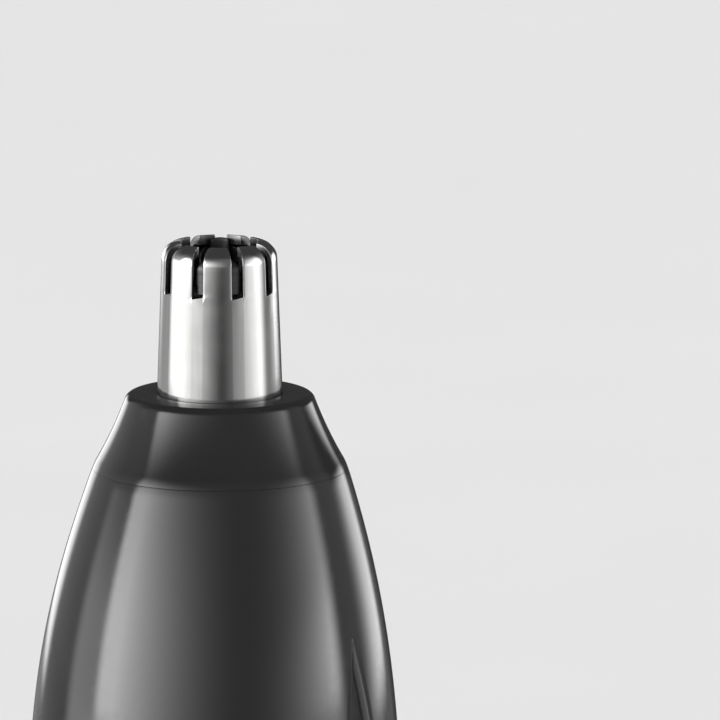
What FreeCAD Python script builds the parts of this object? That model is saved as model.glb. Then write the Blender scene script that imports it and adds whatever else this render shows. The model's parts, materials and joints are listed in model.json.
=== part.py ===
"""Battery nose hair trimmer, upright on its base: +Z up, origin in the middle of the base, switch at -Y.

Millimetres. A slotted steel guard and a glossy collar pull off the neck as one head, with the rotary cutter
inside. The one-piece housing holds the motor chassis, and a pull-off base cap closes the battery tube.
"""
import FreeCAD, Part
import math
import os
import re

import Sketcher
from FreeCAD import Placement, Rotation, Vector

DIMS = {
    # heights of the main planes
    "guard_top": 127.0, "collar_top": 115.4, "shoulder": 109.7, "cap_split": 16.0, "seam": 0.06,
    # slotted guard
    "guard_base_r": 4.75, "guard_tip_r": 4.37, "guard_wall": 0.35, "tip_round": 1.3, "mouth_r": 3.0,
    "mouth_wall": 0.75, "inner_round": 0.5,
    "slot_width": 0.9, "slot_floor": 123.3, "slot_slant": 11.0, "slot_count": 9, "slot_phase": 5.0,
    "flange_r": 5.9, "flange_z": 113.85, "edge_soft": 0.06,
    # collar
    "collar_rim_r": 7.25, "collar_fillet": 0.7, "collar_waist_r": 8.3, "collar_waist_z": 112.0,
    "collar_foot_r": 9.68, "collar_flare": 7.6, "collar_bore_r": 6.7, "collar_roof": 1.2,
    "guard_seat_r": 4.8, "seat_bevel": 0.25,
    # neck of the housing
    "neck_r": 6.6, "neck_bore_r": 5.4, "neck_top": 112.3, "neck_groove_z": 110.65, "neck_groove_h": 0.8,
    "neck_groove_r": 5.95, "neck_ring_r": 6.3, "neck_ring_wire": 0.35,
    # skin of the housing: station heights, radii and backward shifts, from the cap seam to the shoulder
    "skin_z0": 16.0, "skin_r0": 12.1, "skin_back0": 0.0,
    "skin_z1": 22.5, "skin_r1": 12.57, "skin_back1": 0.12,
    "skin_z2": 36.0, "skin_r2": 13.37, "skin_back2": 0.34,
    "skin_z3": 54.0, "skin_r3": 14.0, "skin_back3": 0.53,
    "skin_z4": 73.0, "skin_r4": 14.32, "skin_back4": 0.58,
    "skin_z5": 90.5, "skin_r5": 13.85, "skin_back5": 0.57,
    "skin_z6": 102.6, "skin_r6": 11.79, "skin_back6": 0.27,
    "skin_z7": 109.7, "skin_r7": 9.68, "skin_back7": 0.0,
    "wall": 1.5, "cavity_top": 107.1, "rib_r": 10.9, "rib_width": 1.2, "rib_low": 25.0, "rib_high": 95.0,
    # leaf-shaped recess on the front, its panel and the switch
    "leaf_mid": 76.7, "leaf_half_length": 21.0, "leaf_half_width": 2.5, "leaf_depth": 0.95,
    "leaf_set_back": 0.5, "leaf_gap": 0.1,
    "switch_mid": 74.45, "switch_travel": 4.5, "button_half_length": 6.8, "button_half_width": 2.0,
    "button_inner_y": -13.58, "button_outer_y": -14.85, "button_ridge": 0.6, "button_ridges": 7,
    "stem_half_width": 1.0, "stem_half_length": 1.75, "stem_inner_y": -11.4, "slot_clear": 0.2,
    "carriage_half_width": 3.1, "carriage_half_length": 4.0, "carriage_y": -10.4, "carriage_t": 1.0,
    "wiper_t": 0.25, "wiper_reach": 3.0, "switch_base_y": -9.2, "switch_base_t": 1.4,
    "switch_base_low": 69.5, "switch_base_high": 86.0, "switch_base_half": 4.0, "contact_t": 0.15,
    "contact_half": 0.8,
    # cutter head: shaft, bush, retainer, spring, cutter and driven coupling
    "shaft_r": 1.0, "shaft_low": 103.6, "shaft_high": 124.4, "bush_r": 2.0, "bush_bore_r": 1.04,
    "bush_low": 109.0, "bush_high": 113.85, "retainer_r": 6.65, "retainer_low": 112.6, "hub_tube_r": 3.3,
    "hub_tube_low": 108.75, "debris_hole_r": 0.8, "debris_hole_at": 4.3, "washer_low": 113.95,
    "washer_t": 0.2, "washer_r": 2.4, "spring_r": 1.75, "spring_wire": 0.225, "spring_high": 121.55,
    "spring_pitch": 1.15, "clip_low": 108.25, "clip_t": 0.4, "clip_r": 2.4, "cutter_hub_low": 121.8,
    "cutter_hub_r": 2.1, "cutter_floor_z": 122.6, "cutter_floor_t": 0.4, "cutter_r": 3.9,
    "cutter_wall": 0.35, "cutter_top": 126.1, "blade_low": 123.5, "post_half_angle": 11.0,
    "blade_half_angle": 25.0, "blade_phase": -54.0, "blade_chamfer": 0.45, "blade_count": 4,
    "tooth_in_r": 2.4, "tooth_r": 2.8, "tooth_half_angle": 15.0, "tooth_top": 126.85,
    "hub_boss_r": 1.6, "hub_boss_top": 124.1,
    "dog_r": 3.0, "dog_bore_r": 1.4, "dog_half_angle": 30.0, "driven_low": 103.4, "driven_high": 107.0,
    "driven_tooth_low": 100.4, "driver_low": 96.0, "driver_high": 100.0, "driver_tooth_high": 103.0,
    # motor
    "fit_gap": 0.03,
    "motor_r": 10.05, "motor_flat": 7.55, "can_low": 67.0, "can_high": 93.5, "can_wall": 0.8,
    "boss_r": 3.0, "boss_high": 95.0, "end_cap_low": 66.0, "end_cap_plug": 69.0, "motor_bush_r": 2.0,
    "front_bush_low": 92.3, "rear_bush_low": 66.2, "rear_bush_high": 68.8, "magnet_r": 6.9,
    "magnet_low": 74.0, "magnet_high": 89.0, "magnet_half_angle": 44.0, "core_r": 6.6, "core_low": 75.0,
    "core_high": 88.0, "core_hub_r": 2.2, "pole_half": 1.3, "pole_shoe_r": 5.45, "shoe_half_angle": 50.0,
    "coil_half": 2.9, "coil_out": 4.4, "coil_in": 2.5, "coil_end": 1.6, "commutator_r": 2.5,
    "commutator_low": 70.0, "commutator_high": 73.4, "commutator_slit": 0.3, "motor_shaft_low": 66.6,
    "motor_shaft_high": 99.8, "terminal_x": 4.5, "terminal_low": 62.7, "brush_t": 0.2,
    # chassis
    "cradle_r": 10.75, "cradle_bore_r": 10.15, "cradle_high": 95.2, "cradle_window": 6.4,
    "deck_low": 59.6, "deck_high": 61.6, "sleeve_r": 8.3, "sleeve_bore_r": 7.4, "flange_low": 23.4,
    "sleeve_flange_t": 1.5, "sleeve_window": 3.0, "ring_low": 22.5, "ring_t": 0.8, "ring_in_r": 9.65,
    "ring_out_r": 11.3, "screw_x": 4.75, "screw_y": 7.65, "screw_r": 0.9, "screw_head_r": 1.6,
    "screw_head_t": 1.1, "screw_high": 65.2, "boss_out_r": 1.5, "boss_top": 65.8,
    "strip_x": 8.45, "strip_t": 0.3, "strip_half": 1.5, "strip_low": 25.2, "strip_high": 64.6,
    "plus_plate_r": 4.5, "plus_plate_z": 59.2, "plus_plate_t": 0.3, "lead_r": 0.45,
    # base cap and its contacts
    "base_r": 11.6, "band_low": 1.0, "band_high": 7.0, "cap_floor": 2.5, "cap_bore_r": 9.4,
    "spigot_r": 10.75, "spigot_high": 21.6, "socket_r": 10.85, "socket_high": 23.3, "cap_flare": 30.0,
    "grip_depth": 0.3,
    "grip_low": 9.4, "grip_step": 1.6, "grip_count": 3, "cap_groove_z": 17.7, "cap_groove_h": 1.0,
    "cap_groove_r": 9.98, "cap_ring_r": 10.41, "cap_ring_wire": 0.41, "cap_plate_t": 0.3,
    "cap_plate_r": 8.6, "finger_x": 8.95, "finger_t": 0.3, "finger_high": 28.0, "cap_spring_r": 5.6,
    "cap_spring_wire": 0.4, "cap_spring_pitch": 1.45, "cap_spring_cone": -20.0,
    # AA cell
    "cell_low": 9.0, "cell_high": 58.0, "cell_r": 7.05, "jacket_r": 7.15, "jacket_low": 9.5,
    "jacket_high": 57.6, "cell_wall": 0.25, "nub_r": 2.75, "nub_high": 59.1, "cell_edge": 0.6,
    "insulator_r": 5.4, "insulator_t": 0.15,
}
STATIONS = 8
LEAF_ARC = "((leaf_half_length^2 + leaf_half_width^2) / (2 * leaf_half_width))"

doc = FreeCAD.newDocument("nose_hair_trimmer")
dims = doc.addObject("Spreadsheet::Sheet", "dims")
nodes = {}


# ---------------------------------------------------------------- sheet and expressions
def fill_sheet():
    for row, (alias, value) in enumerate(DIMS.items(), start=1):
        dims.set(f"A{row}", alias)
        dims.set(f"B{row}", str(value))
        dims.setAlias(f"B{row}", alias)
    doc.recompute()


def bound(text):
    """The expression with every dimension's name written as a cell of the sheet."""
    return re.sub(r"[a-z_]\w*", lambda word: "dims." + word[0] if word[0] in DIMS else word[0], text)


def number(text):
    return float(dims.evalExpression(bound(text)))


def bind(item, **places):
    """Binds properties to expressions: x, y and z are the placement's, others the property's own names."""
    for name, text in places.items():
        path = f"Placement.Base.{name}" if name in ("x", "y", "z") else name
        item.setExpression(path, bound(text))


def keep(label, item):
    """Makes item the sub-part of that name, which is written to its own file."""
    item.Label = label
    nodes[label] = item
    return item


# ---------------------------------------------------------------- sketches and PartDesign features
def new_body(name):
    return doc.addObject("PartDesign::Body", name)


def sketch_on(body, role, height="0"):
    """A sketch on one of the body's own origin planes, raised by height along the plane's normal."""
    plane = next(feature for feature in body.Origin.OriginFeatures if feature.Role == role)
    sketch = body.newObject("Sketcher::SketchObject", body.Name + "_sketch")
    sketch.AttachmentSupport = (plane, [""])
    sketch.MapMode = "FlatFace"
    sketch.AttachmentOffset = Placement(Vector(0, 0, number(height)), Rotation())
    if height != "0":
        sketch.setExpression("AttachmentOffset.Base.z", bound(height))
    return sketch


def arc_between(start, end, radius, turn):
    """The short arc from start to end: turn is 1 for anticlockwise and -1 for clockwise."""
    chord = end - start
    height = math.sqrt(max(radius**2 - (chord.Length / 2) ** 2, 0))
    centre = (start + end) / 2 + Vector(-chord.y, chord.x, 0) / chord.Length * height * turn
    first, last = (start, end) if turn > 0 else (end, start)
    angles = [math.atan2((p - centre).y, (p - centre).x) for p in (first, last)]
    return Part.ArcOfCircle(Part.Circle(centre, Vector(0, 0, 1), radius), *angles)


def constrain(sketch, kind, *places_and_text):
    """Adds a dimension, bound to the expression that comes last."""
    *places, text = places_and_text
    index = sketch.addConstraint(Sketcher.Constraint(kind, *places, number(text)))
    sketch.setExpression(f"Constraints[{index}]", bound(text))


def outline(sketch, corners):
    """A closed outline. A corner is (u, v), or (u, v, radius, turn) where an arc leaves it."""
    places = [Vector(number(corner[0]), number(corner[1]), 0) for corner in corners]
    ends = []
    for index, corner in enumerate(corners):
        start, end = places[index], places[(index + 1) % len(corners)]
        if len(corner) == 2:
            edge = sketch.addGeometry(Part.LineSegment(start, end))
            ends.append((edge, 1, 2))
        else:
            edge = sketch.addGeometry(arc_between(start, end, number(corner[2]), corner[3]))
            ends.append((edge, 1, 2) if corner[3] > 0 else (edge, 2, 1))
    for index, (edge, first, _) in enumerate(ends):
        before, _, last = ends[index - 1]
        sketch.addConstraint(Sketcher.Constraint("Coincident", before, last, edge, first))
        constrain(sketch, "DistanceX", -1, 1, edge, first, corners[index][0])
        constrain(sketch, "DistanceY", -1, 1, edge, first, corners[index][1])
    for (edge, _, _), corner in zip(ends, corners):
        if len(corner) > 2:
            constrain(sketch, "Radius", edge, corner[2])


def circle(sketch, radius, u="0", v="0"):
    edge = sketch.addGeometry(Part.Circle(Vector(number(u), number(v), 0), Vector(0, 0, 1),
                                          number(radius)))
    constrain(sketch, "DistanceX", -1, 1, edge, 3, u)
    constrain(sketch, "DistanceY", -1, 1, edge, 3, v)
    constrain(sketch, "Radius", edge, radius)


def revolve(body, corners, kind="Revolution"):
    """Turns an (r, z) outline about Z, as material or, with kind Groove, as a cut."""
    sketch = sketch_on(body, "XZ_Plane")
    outline(sketch, corners)
    feature = body.newObject(f"PartDesign::{kind}", body.Name + "_" + kind.lower())
    feature.Profile = sketch
    feature.ReferenceAxis = (sketch, ["V_Axis"])
    feature.Angle = 360
    return feature


def turned(label, corners):
    body = new_body(label)
    revolve(body, corners)
    return keep(label, body)


def groove(body, corners):
    doc.recompute()
    before = body.Shape.Volume
    revolve(body, corners, "Groove")
    doc.recompute()
    assert body.Shape.Volume < before, f"a groove in {body.Label} cuts nothing"


def ring(inner, outer, low, high):
    """The (r, z) outline of a plain ring."""
    return [(inner, low), (outer, low), (outer, high), (inner, high)]


def sector(inner, outer, half_angle):
    """The outline of a piece of a ring about +X."""
    near, far = f"({inner})", f"({outer})"
    cosine, sine = f"cos({half_angle})", f"sin({half_angle})"
    return [
        (f"{near} * {cosine}", f"-{near} * {sine}"),
        (f"{far} * {cosine}", f"-{far} * {sine}", far, 1),
        (f"{far} * {cosine}", f"{far} * {sine}"),
        (f"{near} * {cosine}", f"{near} * {sine}", near, -1),
    ]


def pad(body, role, corners, length, height="0"):
    sketch = sketch_on(body, role, height)
    outline(sketch, corners)
    feature = body.newObject("PartDesign::Pad", body.Name + "_pad")
    feature.Profile = sketch
    feature.setExpression("Length", bound(length))
    return feature


def polar(body, feature, count):
    """Repeats the feature about Z."""
    pattern = body.newObject("PartDesign::PolarPattern", body.Name + "_pattern")
    pattern.Originals = [feature]
    pattern.Axis = (feature.Profile[0], ["V_Axis" if "XZ" in plane_role(feature) else "N_Axis"])
    pattern.Angle = 360
    pattern.setExpression("Occurrences", bound(count))
    body.Tip = pattern
    return pattern


def plane_role(feature):
    return feature.Profile[0].AttachmentSupport[0][0].Role


def turn_body(body, angle):
    """Turns the whole body about Z by a sheet angle."""
    body.Placement = Placement(Vector(), Rotation(Vector(0, 0, 1), 1))
    body.setExpression("Placement.Rotation.Angle", bound(angle))


# ---------------------------------------------------------------- Part primitives and booleans
def cylinder(name, radius, low, high, x="0", y="0"):
    item = doc.addObject("Part::Cylinder", name)
    bind(item, Radius=radius, Height=f"({high}) - ({low})", x=x, y=y, z=low)
    return item


def box(name, x, y, z):
    """A box from three (low, high) pairs of expressions."""
    item = doc.addObject("Part::Box", name)
    bind(item, Length=f"({x[1]}) - ({x[0]})", Width=f"({y[1]}) - ({y[0]})", Height=f"({z[1]}) - ({z[0]})")
    bind(item, x=x[0], y=y[0], z=z[0])
    return item


def torus(label, radius, wire, height):
    item = doc.addObject("Part::Torus", label)
    bind(item, Radius1=radius, Radius2=wire, z=height)
    return keep(label, item)


def fuse(name, *items):
    item = doc.addObject("Part::MultiFuse", name)
    item.Shapes = list(items)
    return item


def common(name, *items):
    item = doc.addObject("Part::MultiCommon", name)
    item.Shapes = list(items)
    return item


def cut(name, base, *tools):
    item = doc.addObject("Part::Cut", name)
    item.Base = base
    item.Tool = tools[0] if len(tools) == 1 else fuse(name + "_tools", *tools)
    return item


def group(label, *items):
    """Several separate solids that share one node."""
    item = doc.addObject("Part::Compound", label)
    item.Links = list(items)
    return keep(label, item)


def tube(name, inner, outer, low, high):
    body = new_body(name)
    revolve(body, ring(inner, outer, low, high))
    return body


def plus_minus(text):
    """The (low, high) pair that reaches as far each side of zero."""
    return f"-({text})", text


# ---------------------------------------------------------------- cutter head
def guard():
    """Tapered steel tube whose top is bent inwards, cut by radial slots into fingers."""
    body = new_body("slotted_guard")
    round_in_r, round_z = "guard_tip_r - tip_round", "guard_top - tip_round"
    revolve(body, [
        ("guard_base_r - guard_wall", "flange_z"),
        ("flange_r", "flange_z"),
        ("flange_r", "flange_z + guard_wall"),
        ("guard_base_r", "flange_z + guard_wall"),
        ("guard_base_r", "collar_top"),
        ("guard_tip_r", round_z, "tip_round", 1),
        (round_in_r, "guard_top"),
        ("mouth_r", "guard_top"),
        ("mouth_r", "guard_top - mouth_wall"),
        ("guard_tip_r - guard_wall - inner_round", "guard_top - mouth_wall", "inner_round", -1),
        ("guard_tip_r - guard_wall", "guard_top - mouth_wall - inner_round"),
        ("guard_base_r - guard_wall", "collar_top"),
    ])
    doc.recompute()
    half, drop = "slot_width / 2", "slot_width / 2 * tan(slot_slant)"
    slot_sketch = sketch_on(body, "XZ_Plane")
    outline(slot_sketch, [
        (f"-{half}", f"slot_floor - {drop}"),
        (half, f"slot_floor + {drop}"),
        (half, "guard_top + 1"),
        (f"-{half}", "guard_top + 1"),
    ])
    slot = body.newObject("PartDesign::Pocket", "guard_slot")
    slot.Profile = slot_sketch
    slot.Reversed = True
    slot.setExpression("Length", bound("guard_base_r + 1"))
    whole = body.Shape.Volume
    polar(body, slot, "slot_count")
    turn_body(body, "slot_phase")
    doc.recompute()
    assert body.Shape.Volume < whole, "the guard's slots cut nothing"
    keep("slotted_guard", body)


def collar():
    rim_flat_r, rim_low = "collar_rim_r - collar_fillet", "collar_top - collar_fillet"
    turned("head_collar", [
        ("collar_bore_r", "shoulder + seam"),
        ("collar_foot_r", "shoulder + seam", "collar_flare", -1),
        ("collar_waist_r", "collar_waist_z"),
        ("collar_rim_r", rim_low, "collar_fillet", 1),
        (rim_flat_r, "collar_top"),
        ("guard_seat_r + seat_bevel", "collar_top"),
        ("guard_seat_r", "collar_top - seat_bevel"),
        ("guard_seat_r", "collar_top - collar_roof"),
        ("collar_bore_r", "collar_top - collar_roof"),
    ])


def retainer():
    """Disc that traps the guard's flange in the collar, with the hub tube for the bush and debris holes."""
    disc = tube("retainer_disc", "bush_r", "retainer_r", "retainer_low", "flange_z")
    hub = tube("retainer_hub", "bush_r", "hub_tube_r", "hub_tube_low", "flange_z")
    holes = []
    for index in range(6):
        angle = f"{60 * index}"
        place = (f"debris_hole_at * cos({angle})", f"debris_hole_at * sin({angle})")
        holes.append(cylinder("debris_hole", "debris_hole_r", "retainer_low - 1", "flange_z + 1", *place))
    keep("guard_retainer", cut("guard_retainer", fuse("retainer_solid", disc, hub), *holes))
    turned("shaft_bush", ring("bush_bore_r", "bush_r", "bush_low", "bush_high"))


def rotary_cutter():
    """Cup on a hub, with blades that sweep the inside of the guard and teeth that rise into its mouth."""
    body = new_body("rotary_cutter")
    floor_top = "cutter_floor_z + cutter_floor_t"
    revolve(body, [
        ("shaft_r", "cutter_hub_low"),
        ("cutter_hub_r", "cutter_hub_low"),
        ("cutter_hub_r", "cutter_floor_z"),
        ("cutter_r", "cutter_floor_z"),
        ("cutter_r", floor_top),
        ("hub_boss_r", floor_top),
        ("hub_boss_r", "hub_boss_top"),
        ("shaft_r", "hub_boss_top"),
    ])
    post = pad(body, "XY_Plane", sector("cutter_r - cutter_wall", "cutter_r", "post_half_angle"),
               "blade_low + 0.1 - cutter_floor_z", "cutter_floor_z")
    polar(body, post, "blade_count")
    blade = pad(body, "XY_Plane", sector("cutter_r - cutter_wall", "cutter_r", "blade_half_angle"),
                "cutter_top - blade_low", "blade_low")
    polar(body, blade, "blade_count")
    tooth = pad(body, "XY_Plane", sector("tooth_in_r", "tooth_r", "tooth_half_angle"),
                "tooth_top - cutter_floor_z", "cutter_floor_z")
    polar(body, tooth, "blade_count")
    groove(body, [
        ("cutter_r - blade_chamfer * 0.8", "cutter_top"),
        ("cutter_r", "cutter_top - blade_chamfer"),
        ("cutter_r + 1", "cutter_top - blade_chamfer"),
        ("cutter_r + 1", "cutter_top"),
    ])
    turn_body(body, "blade_phase + 90")
    keep("rotary_cutter", body)


def shaft_and_small_parts():
    turned("cutter_shaft", [
        ("0", "shaft_low"),
        ("shaft_r", "shaft_low"),
        ("shaft_r", "shaft_high - 0.3"),
        ("shaft_r - 0.3", "shaft_high"),
        ("0", "shaft_high"),
    ])
    turned("spring_washer", ring("shaft_r", "washer_r", "washer_low", "washer_low + washer_t"))
    clip = tube("clip_ring", "shaft_r", "clip_r", "clip_low", "clip_low + clip_t")
    mouth = box("clip_mouth", plus_minus("shaft_r * 0.7"), ("0", "clip_r + 1"),
                ("clip_low - 1", "clip_low + 1"))
    keep("retaining_clip", cut("retaining_clip", clip, mouth))


def spring(label, radius, wire, low, high, pitch, cone="0"):
    """Round-wire coil spring between two heights; cone narrows it upwards."""
    body = new_body(label)
    sketch = sketch_on(body, "XZ_Plane")
    circle(sketch, wire, radius, f"{low} + {wire}")
    doc.recompute()
    helix = body.newObject("PartDesign::AdditiveHelix", label + "_helix")
    helix.Profile = sketch
    helix.ReferenceAxis = (sketch, ["V_Axis"])
    helix.Mode = 0
    helix.setExpression("Pitch", bound(pitch))
    helix.setExpression("Height", bound(f"{high} - ({low}) - 2 * {wire}"))
    helix.setExpression("Angle", bound(cone))
    keep(label, body)


def dog_coupling(label, hub_low, hub_high, tooth_low, tooth_high, angle):
    """Half of the drive coupling: a hub with two teeth, a quarter turn apart from the other half's."""
    hub = tube(label + "_hub", "shaft_r", "dog_r", hub_low, hub_high)
    teeth = new_body(label + "_teeth")
    tooth = pad(teeth, "XY_Plane", sector("dog_bore_r", "dog_r", "dog_half_angle"),
                f"{tooth_high} - ({tooth_low})", tooth_low)
    polar(teeth, tooth, "2")
    turn_body(teeth, angle)
    keep(label, fuse(label, hub, teeth))


# ---------------------------------------------------------------- housing, leaf panel and switch
def skin(name, inset):
    """Solid inside the housing's outer surface, with its radius smaller by inset."""
    body = new_body(name)
    sections = []
    for index in range(STATIONS):
        sketch = sketch_on(body, "XY_Plane", f"skin_z{index}")
        radius, back = f"(skin_r{index} - ({inset}))", f"skin_back{index}"
        outline(sketch, [
            (radius, back, radius, 1),
            ("0", f"{back} + {radius}", radius, 1),
            (f"-{radius}", back, radius, 1),
            ("0", f"{back} - {radius}", radius, 1),
        ])
        sections.append(sketch)
    doc.recompute()
    loft = body.newObject("PartDesign::AdditiveLoft", name + "_loft")
    loft.Profile = sections[0]
    loft.Sections = sections[1:]
    return body


def leaf(name, margin):
    """Upright prism towards -Y whose outline is two equal arcs meeting in points, smaller by margin."""
    arc = f"({LEAF_ARC} - {margin})"
    tip = f"sqrt({arc}^2 - ({LEAF_ARC} - leaf_half_width)^2)"
    body = new_body(name)
    pad(body, "XZ_Plane", [
        ("0", f"leaf_mid - {tip}", arc, 1),
        ("0", f"leaf_mid + {tip}", arc, 1),
    ], "skin_r4 + 2")
    return body


def switch_slot(name, low_y, high_y):
    half = "(stem_half_length + slot_clear)"
    return box(name, plus_minus("stem_half_width + slot_clear"), (low_y, high_y),
               (f"switch_mid - {half}", f"switch_mid + switch_travel + {half}"))


def housing():
    """One-piece shell: tapered skin and neck, hollow inside, with four guide ribs for the motor chassis."""
    outside = fuse("skin_and_neck", skin("skin_outer", "0"),
                   cylinder("neck", "neck_r", "shoulder - 1", "neck_top"))
    recess_band = cut("recess_band", skin("skin_beyond", "-1"), skin("skin_recess", "leaf_depth"))
    recess = common("leaf_recess", leaf("leaf_full", "0"), recess_band)
    inside = box("inside", plus_minus("skin_r4 + 1"), plus_minus("skin_r4 + 2"),
                 ("socket_high", "cavity_top"))
    cavity = common("cavity", skin("skin_inner", "wall"), inside)
    ribs = []
    for angle in (45, 135, 225, 315):
        rib = box("guide_rib", ("rib_r", "skin_r4 + 1"), plus_minus("rib_width / 2"),
                  ("rib_low", "rib_high"))
        rib.Placement.Rotation = Rotation(Vector(0, 0, 1), angle)
        bind(rib, x=f"rib_r * cos({angle}) + rib_width / 2 * sin({angle})",
             y=f"rib_r * sin({angle}) - rib_width / 2 * cos({angle})")
        ribs.append(rib)
    hollow = fuse(
        "hollow",
        cut("ribbed_cavity", cavity, *ribs),
        cylinder("neck_bore", "neck_bore_r", "cavity_top - 1", "neck_top + 1"),
        cylinder("cap_socket", "socket_r", "cap_split - 1", "socket_high + 0.5"),
        cylinder("ring_pocket", "ring_out_r + 0.02", "ring_low - 0.02", "ring_low + ring_t + 0.02"),
    )
    ring_cut = tube("neck_groove", "neck_groove_r", "neck_r + 1", "neck_groove_z",
                    "neck_groove_z + neck_groove_h")
    slot = switch_slot("switch_slot", "-skin_r4 - 1", "-sleeve_r")
    shell = cut("hollow_shell", outside, hollow)
    keep("main_housing", cut("main_housing", cut("grooved_shell", shell, ring_cut, slot), recess))


def leaf_panel():
    """Soft panel set back in the leaf recess, with the slot for the switch's stem."""
    band = cut("panel_band", skin("skin_panel_out", "leaf_set_back"), skin("skin_panel_in", "leaf_depth"))
    plate = common("panel_plate", leaf("leaf_small", "leaf_gap"), band)
    keep("switch_panel", cut("switch_panel", plate, switch_slot("panel_slot", "-skin_r4 - 1", "0")))


def switch():
    """Sliding thumb button, its stem through the wall, and the carriage with the wiper inside."""
    button = new_body("button_top")
    arc = "((button_half_length^2 + button_half_width^2) / (2 * button_half_width))"
    pad(button, "XZ_Plane", [
        ("0", "switch_mid - button_half_length", arc, 1),
        ("0", "switch_mid + button_half_length", arc, 1),
    ], "button_inner_y - button_outer_y", "-button_inner_y")
    ridges = []
    for index in range(int(DIMS["button_ridges"])):
        centre = f"switch_mid + ({index} - (button_ridges - 1) / 2) * 1.3"
        ridges.append(cylinder("thumb_groove", "button_ridge / 2", "-4", "4", y="button_outer_y - 0.1"))
        ridges[-1].Placement.Rotation = Rotation(Vector(0, 1, 0), 90)
        bind(ridges[-1], x="-4", z=centre)
    tips = "button_half_length - 0.7"
    middle = box("button_middle", plus_minus("button_half_width + 1"), ("button_outer_y - 1", "0"),
                 (f"switch_mid - ({tips})", f"switch_mid + {tips}"))
    stem = box("stem", plus_minus("stem_half_width"), ("button_inner_y - 0.2", "stem_inner_y"),
               ("switch_mid - stem_half_length", "switch_mid + stem_half_length"))
    keep("switch_button", fuse("switch_button",
                               cut("button_ridged", common("button_blunt", button, middle),
                                   *ridges), stem))
    carriage_low = "carriage_y - carriage_t"
    half = "carriage_half_length"
    keep("switch_carriage", box("switch_carriage", plus_minus("carriage_half_width"),
                                (carriage_low, "carriage_y"),
                                (f"switch_mid - {half}", f"switch_mid + {half}")))
    leaf_spring = box("wiper_leaf", plus_minus("contact_half * 1.6"),
                      ("carriage_y", "carriage_y + wiper_t"),
                      ("switch_mid - 3.7", "switch_mid + 3.7"))
    bumps = []
    for offset in ("-wiper_reach", "wiper_reach"):
        bump = cylinder("wiper_bump", "0.55", "-1", "1")
        bump.Placement.Rotation = Rotation(Vector(0, 1, 0), 90)
        bind(bump, x="-1", y="carriage_y + 0.4", z=f"switch_mid + {offset}")
        bumps.append(bump)
    outside = box("wiper_side", plus_minus("2"), ("carriage_y", "carriage_y + 2"),
                  ("switch_mid - 5", "switch_mid + 5"))
    keep("switch_wiper", common("switch_wiper", fuse("wiper_solid", leaf_spring, *bumps), outside))


def switch_contacts():
    """Insulating base against the motor's flat, with two fixed contact strips facing the wiper."""
    keep("switch_base", box("switch_base", plus_minus("switch_base_half"),
                            ("switch_base_y", "switch_base_y + switch_base_t"),
                            ("switch_base_low", "switch_base_high")))
    front = ("switch_base_y - contact_t", "switch_base_y")
    low = box("contact_low", plus_minus("contact_half"), front, ("switch_base_low", "switch_mid + 2.15"))
    high = box("contact_high", plus_minus("contact_half"), front,
               ("switch_mid + 3.75", "switch_base_high"))
    group("switch_contacts", low, high)


# ---------------------------------------------------------------- motor
def flat_sided(name, radius, flat, low, high):
    """Cylinder with flats facing -Y and +Y."""
    round_bar = cylinder(name + "_round", radius, low, high)
    slab = box(name + "_slab", plus_minus("motor_r + 1"), plus_minus(flat), (low, high))
    return common(name, round_bar, slab)


def about_z(name, corners, low, high, angle="0", count=1):
    """Upright prism of an outline on XY, repeated about Z and turned by a sheet angle."""
    body = new_body(name)
    feature = pad(body, "XY_Plane", corners, f"{high} - ({low})", low)
    if count > 1:
        polar(body, feature, str(count))
    if angle != "0":
        turn_body(body, angle)
    return body


def motor_case():
    inner_r, inner_flat = "motor_r - can_wall", "motor_flat - can_wall"
    can = fuse("can_solid", flat_sided("can", "motor_r", "motor_flat", "can_low", "can_high"),
               cylinder("can_boss", "boss_r", "can_high - 0.5", "boss_high"))
    room = flat_sided("can_room", inner_r, inner_flat, "can_low - 1", "can_high - can_wall")
    bush_seat = cylinder("bush_seat", "motor_bush_r", "front_bush_low - 1", "boss_high + 1")
    keep("motor_can", cut("motor_can", can, room, bush_seat))
    brim = flat_sided("cap_brim", "motor_r", "motor_flat", "end_cap_low", "can_low")
    plug = flat_sided("cap_plug", f"{inner_r} - fit_gap", f"{inner_flat} - fit_gap", "end_cap_low",
                      "end_cap_plug")
    rear_seat = cylinder("rear_seat", "motor_bush_r", "end_cap_low - 1", "end_cap_plug + 1")
    keep("motor_end_cap", cut("motor_end_cap", fuse("end_cap_solid", brim, plug), rear_seat))
    group("motor_bushes",
          tube("front_bush", "bush_bore_r", "motor_bush_r", "front_bush_low", "boss_high"),
          tube("rear_bush", "bush_bore_r", "motor_bush_r", "rear_bush_low", "rear_bush_high"))
    magnet = sector("magnet_r", "motor_r - can_wall - fit_gap", "magnet_half_angle")
    keep("motor_magnets", about_z("motor_magnets", magnet, "magnet_low", "magnet_high", count=2))
    tabs, brushes = [], []
    for side in ("-", ""):
        tab_x = sorted((f"{side}(terminal_x - 0.2)", f"{side}(terminal_x + 0.2)"), key=number)
        tabs.append(box("terminal", tab_x, plus_minus("1.2"), ("terminal_low", "end_cap_low")))
        near, far = "commutator_r + 0.06", "commutator_r + 0.06 + brush_t"
        brush_x = sorted((f"{side}({near})", f"{side}({far})"), key=number)
        brushes.append(box("brush", brush_x, plus_minus("1.1"),
                           ("end_cap_plug", "commutator_high - 0.3")))
    group("motor_terminals", *tabs)
    group("motor_brushes", *brushes)


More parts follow.
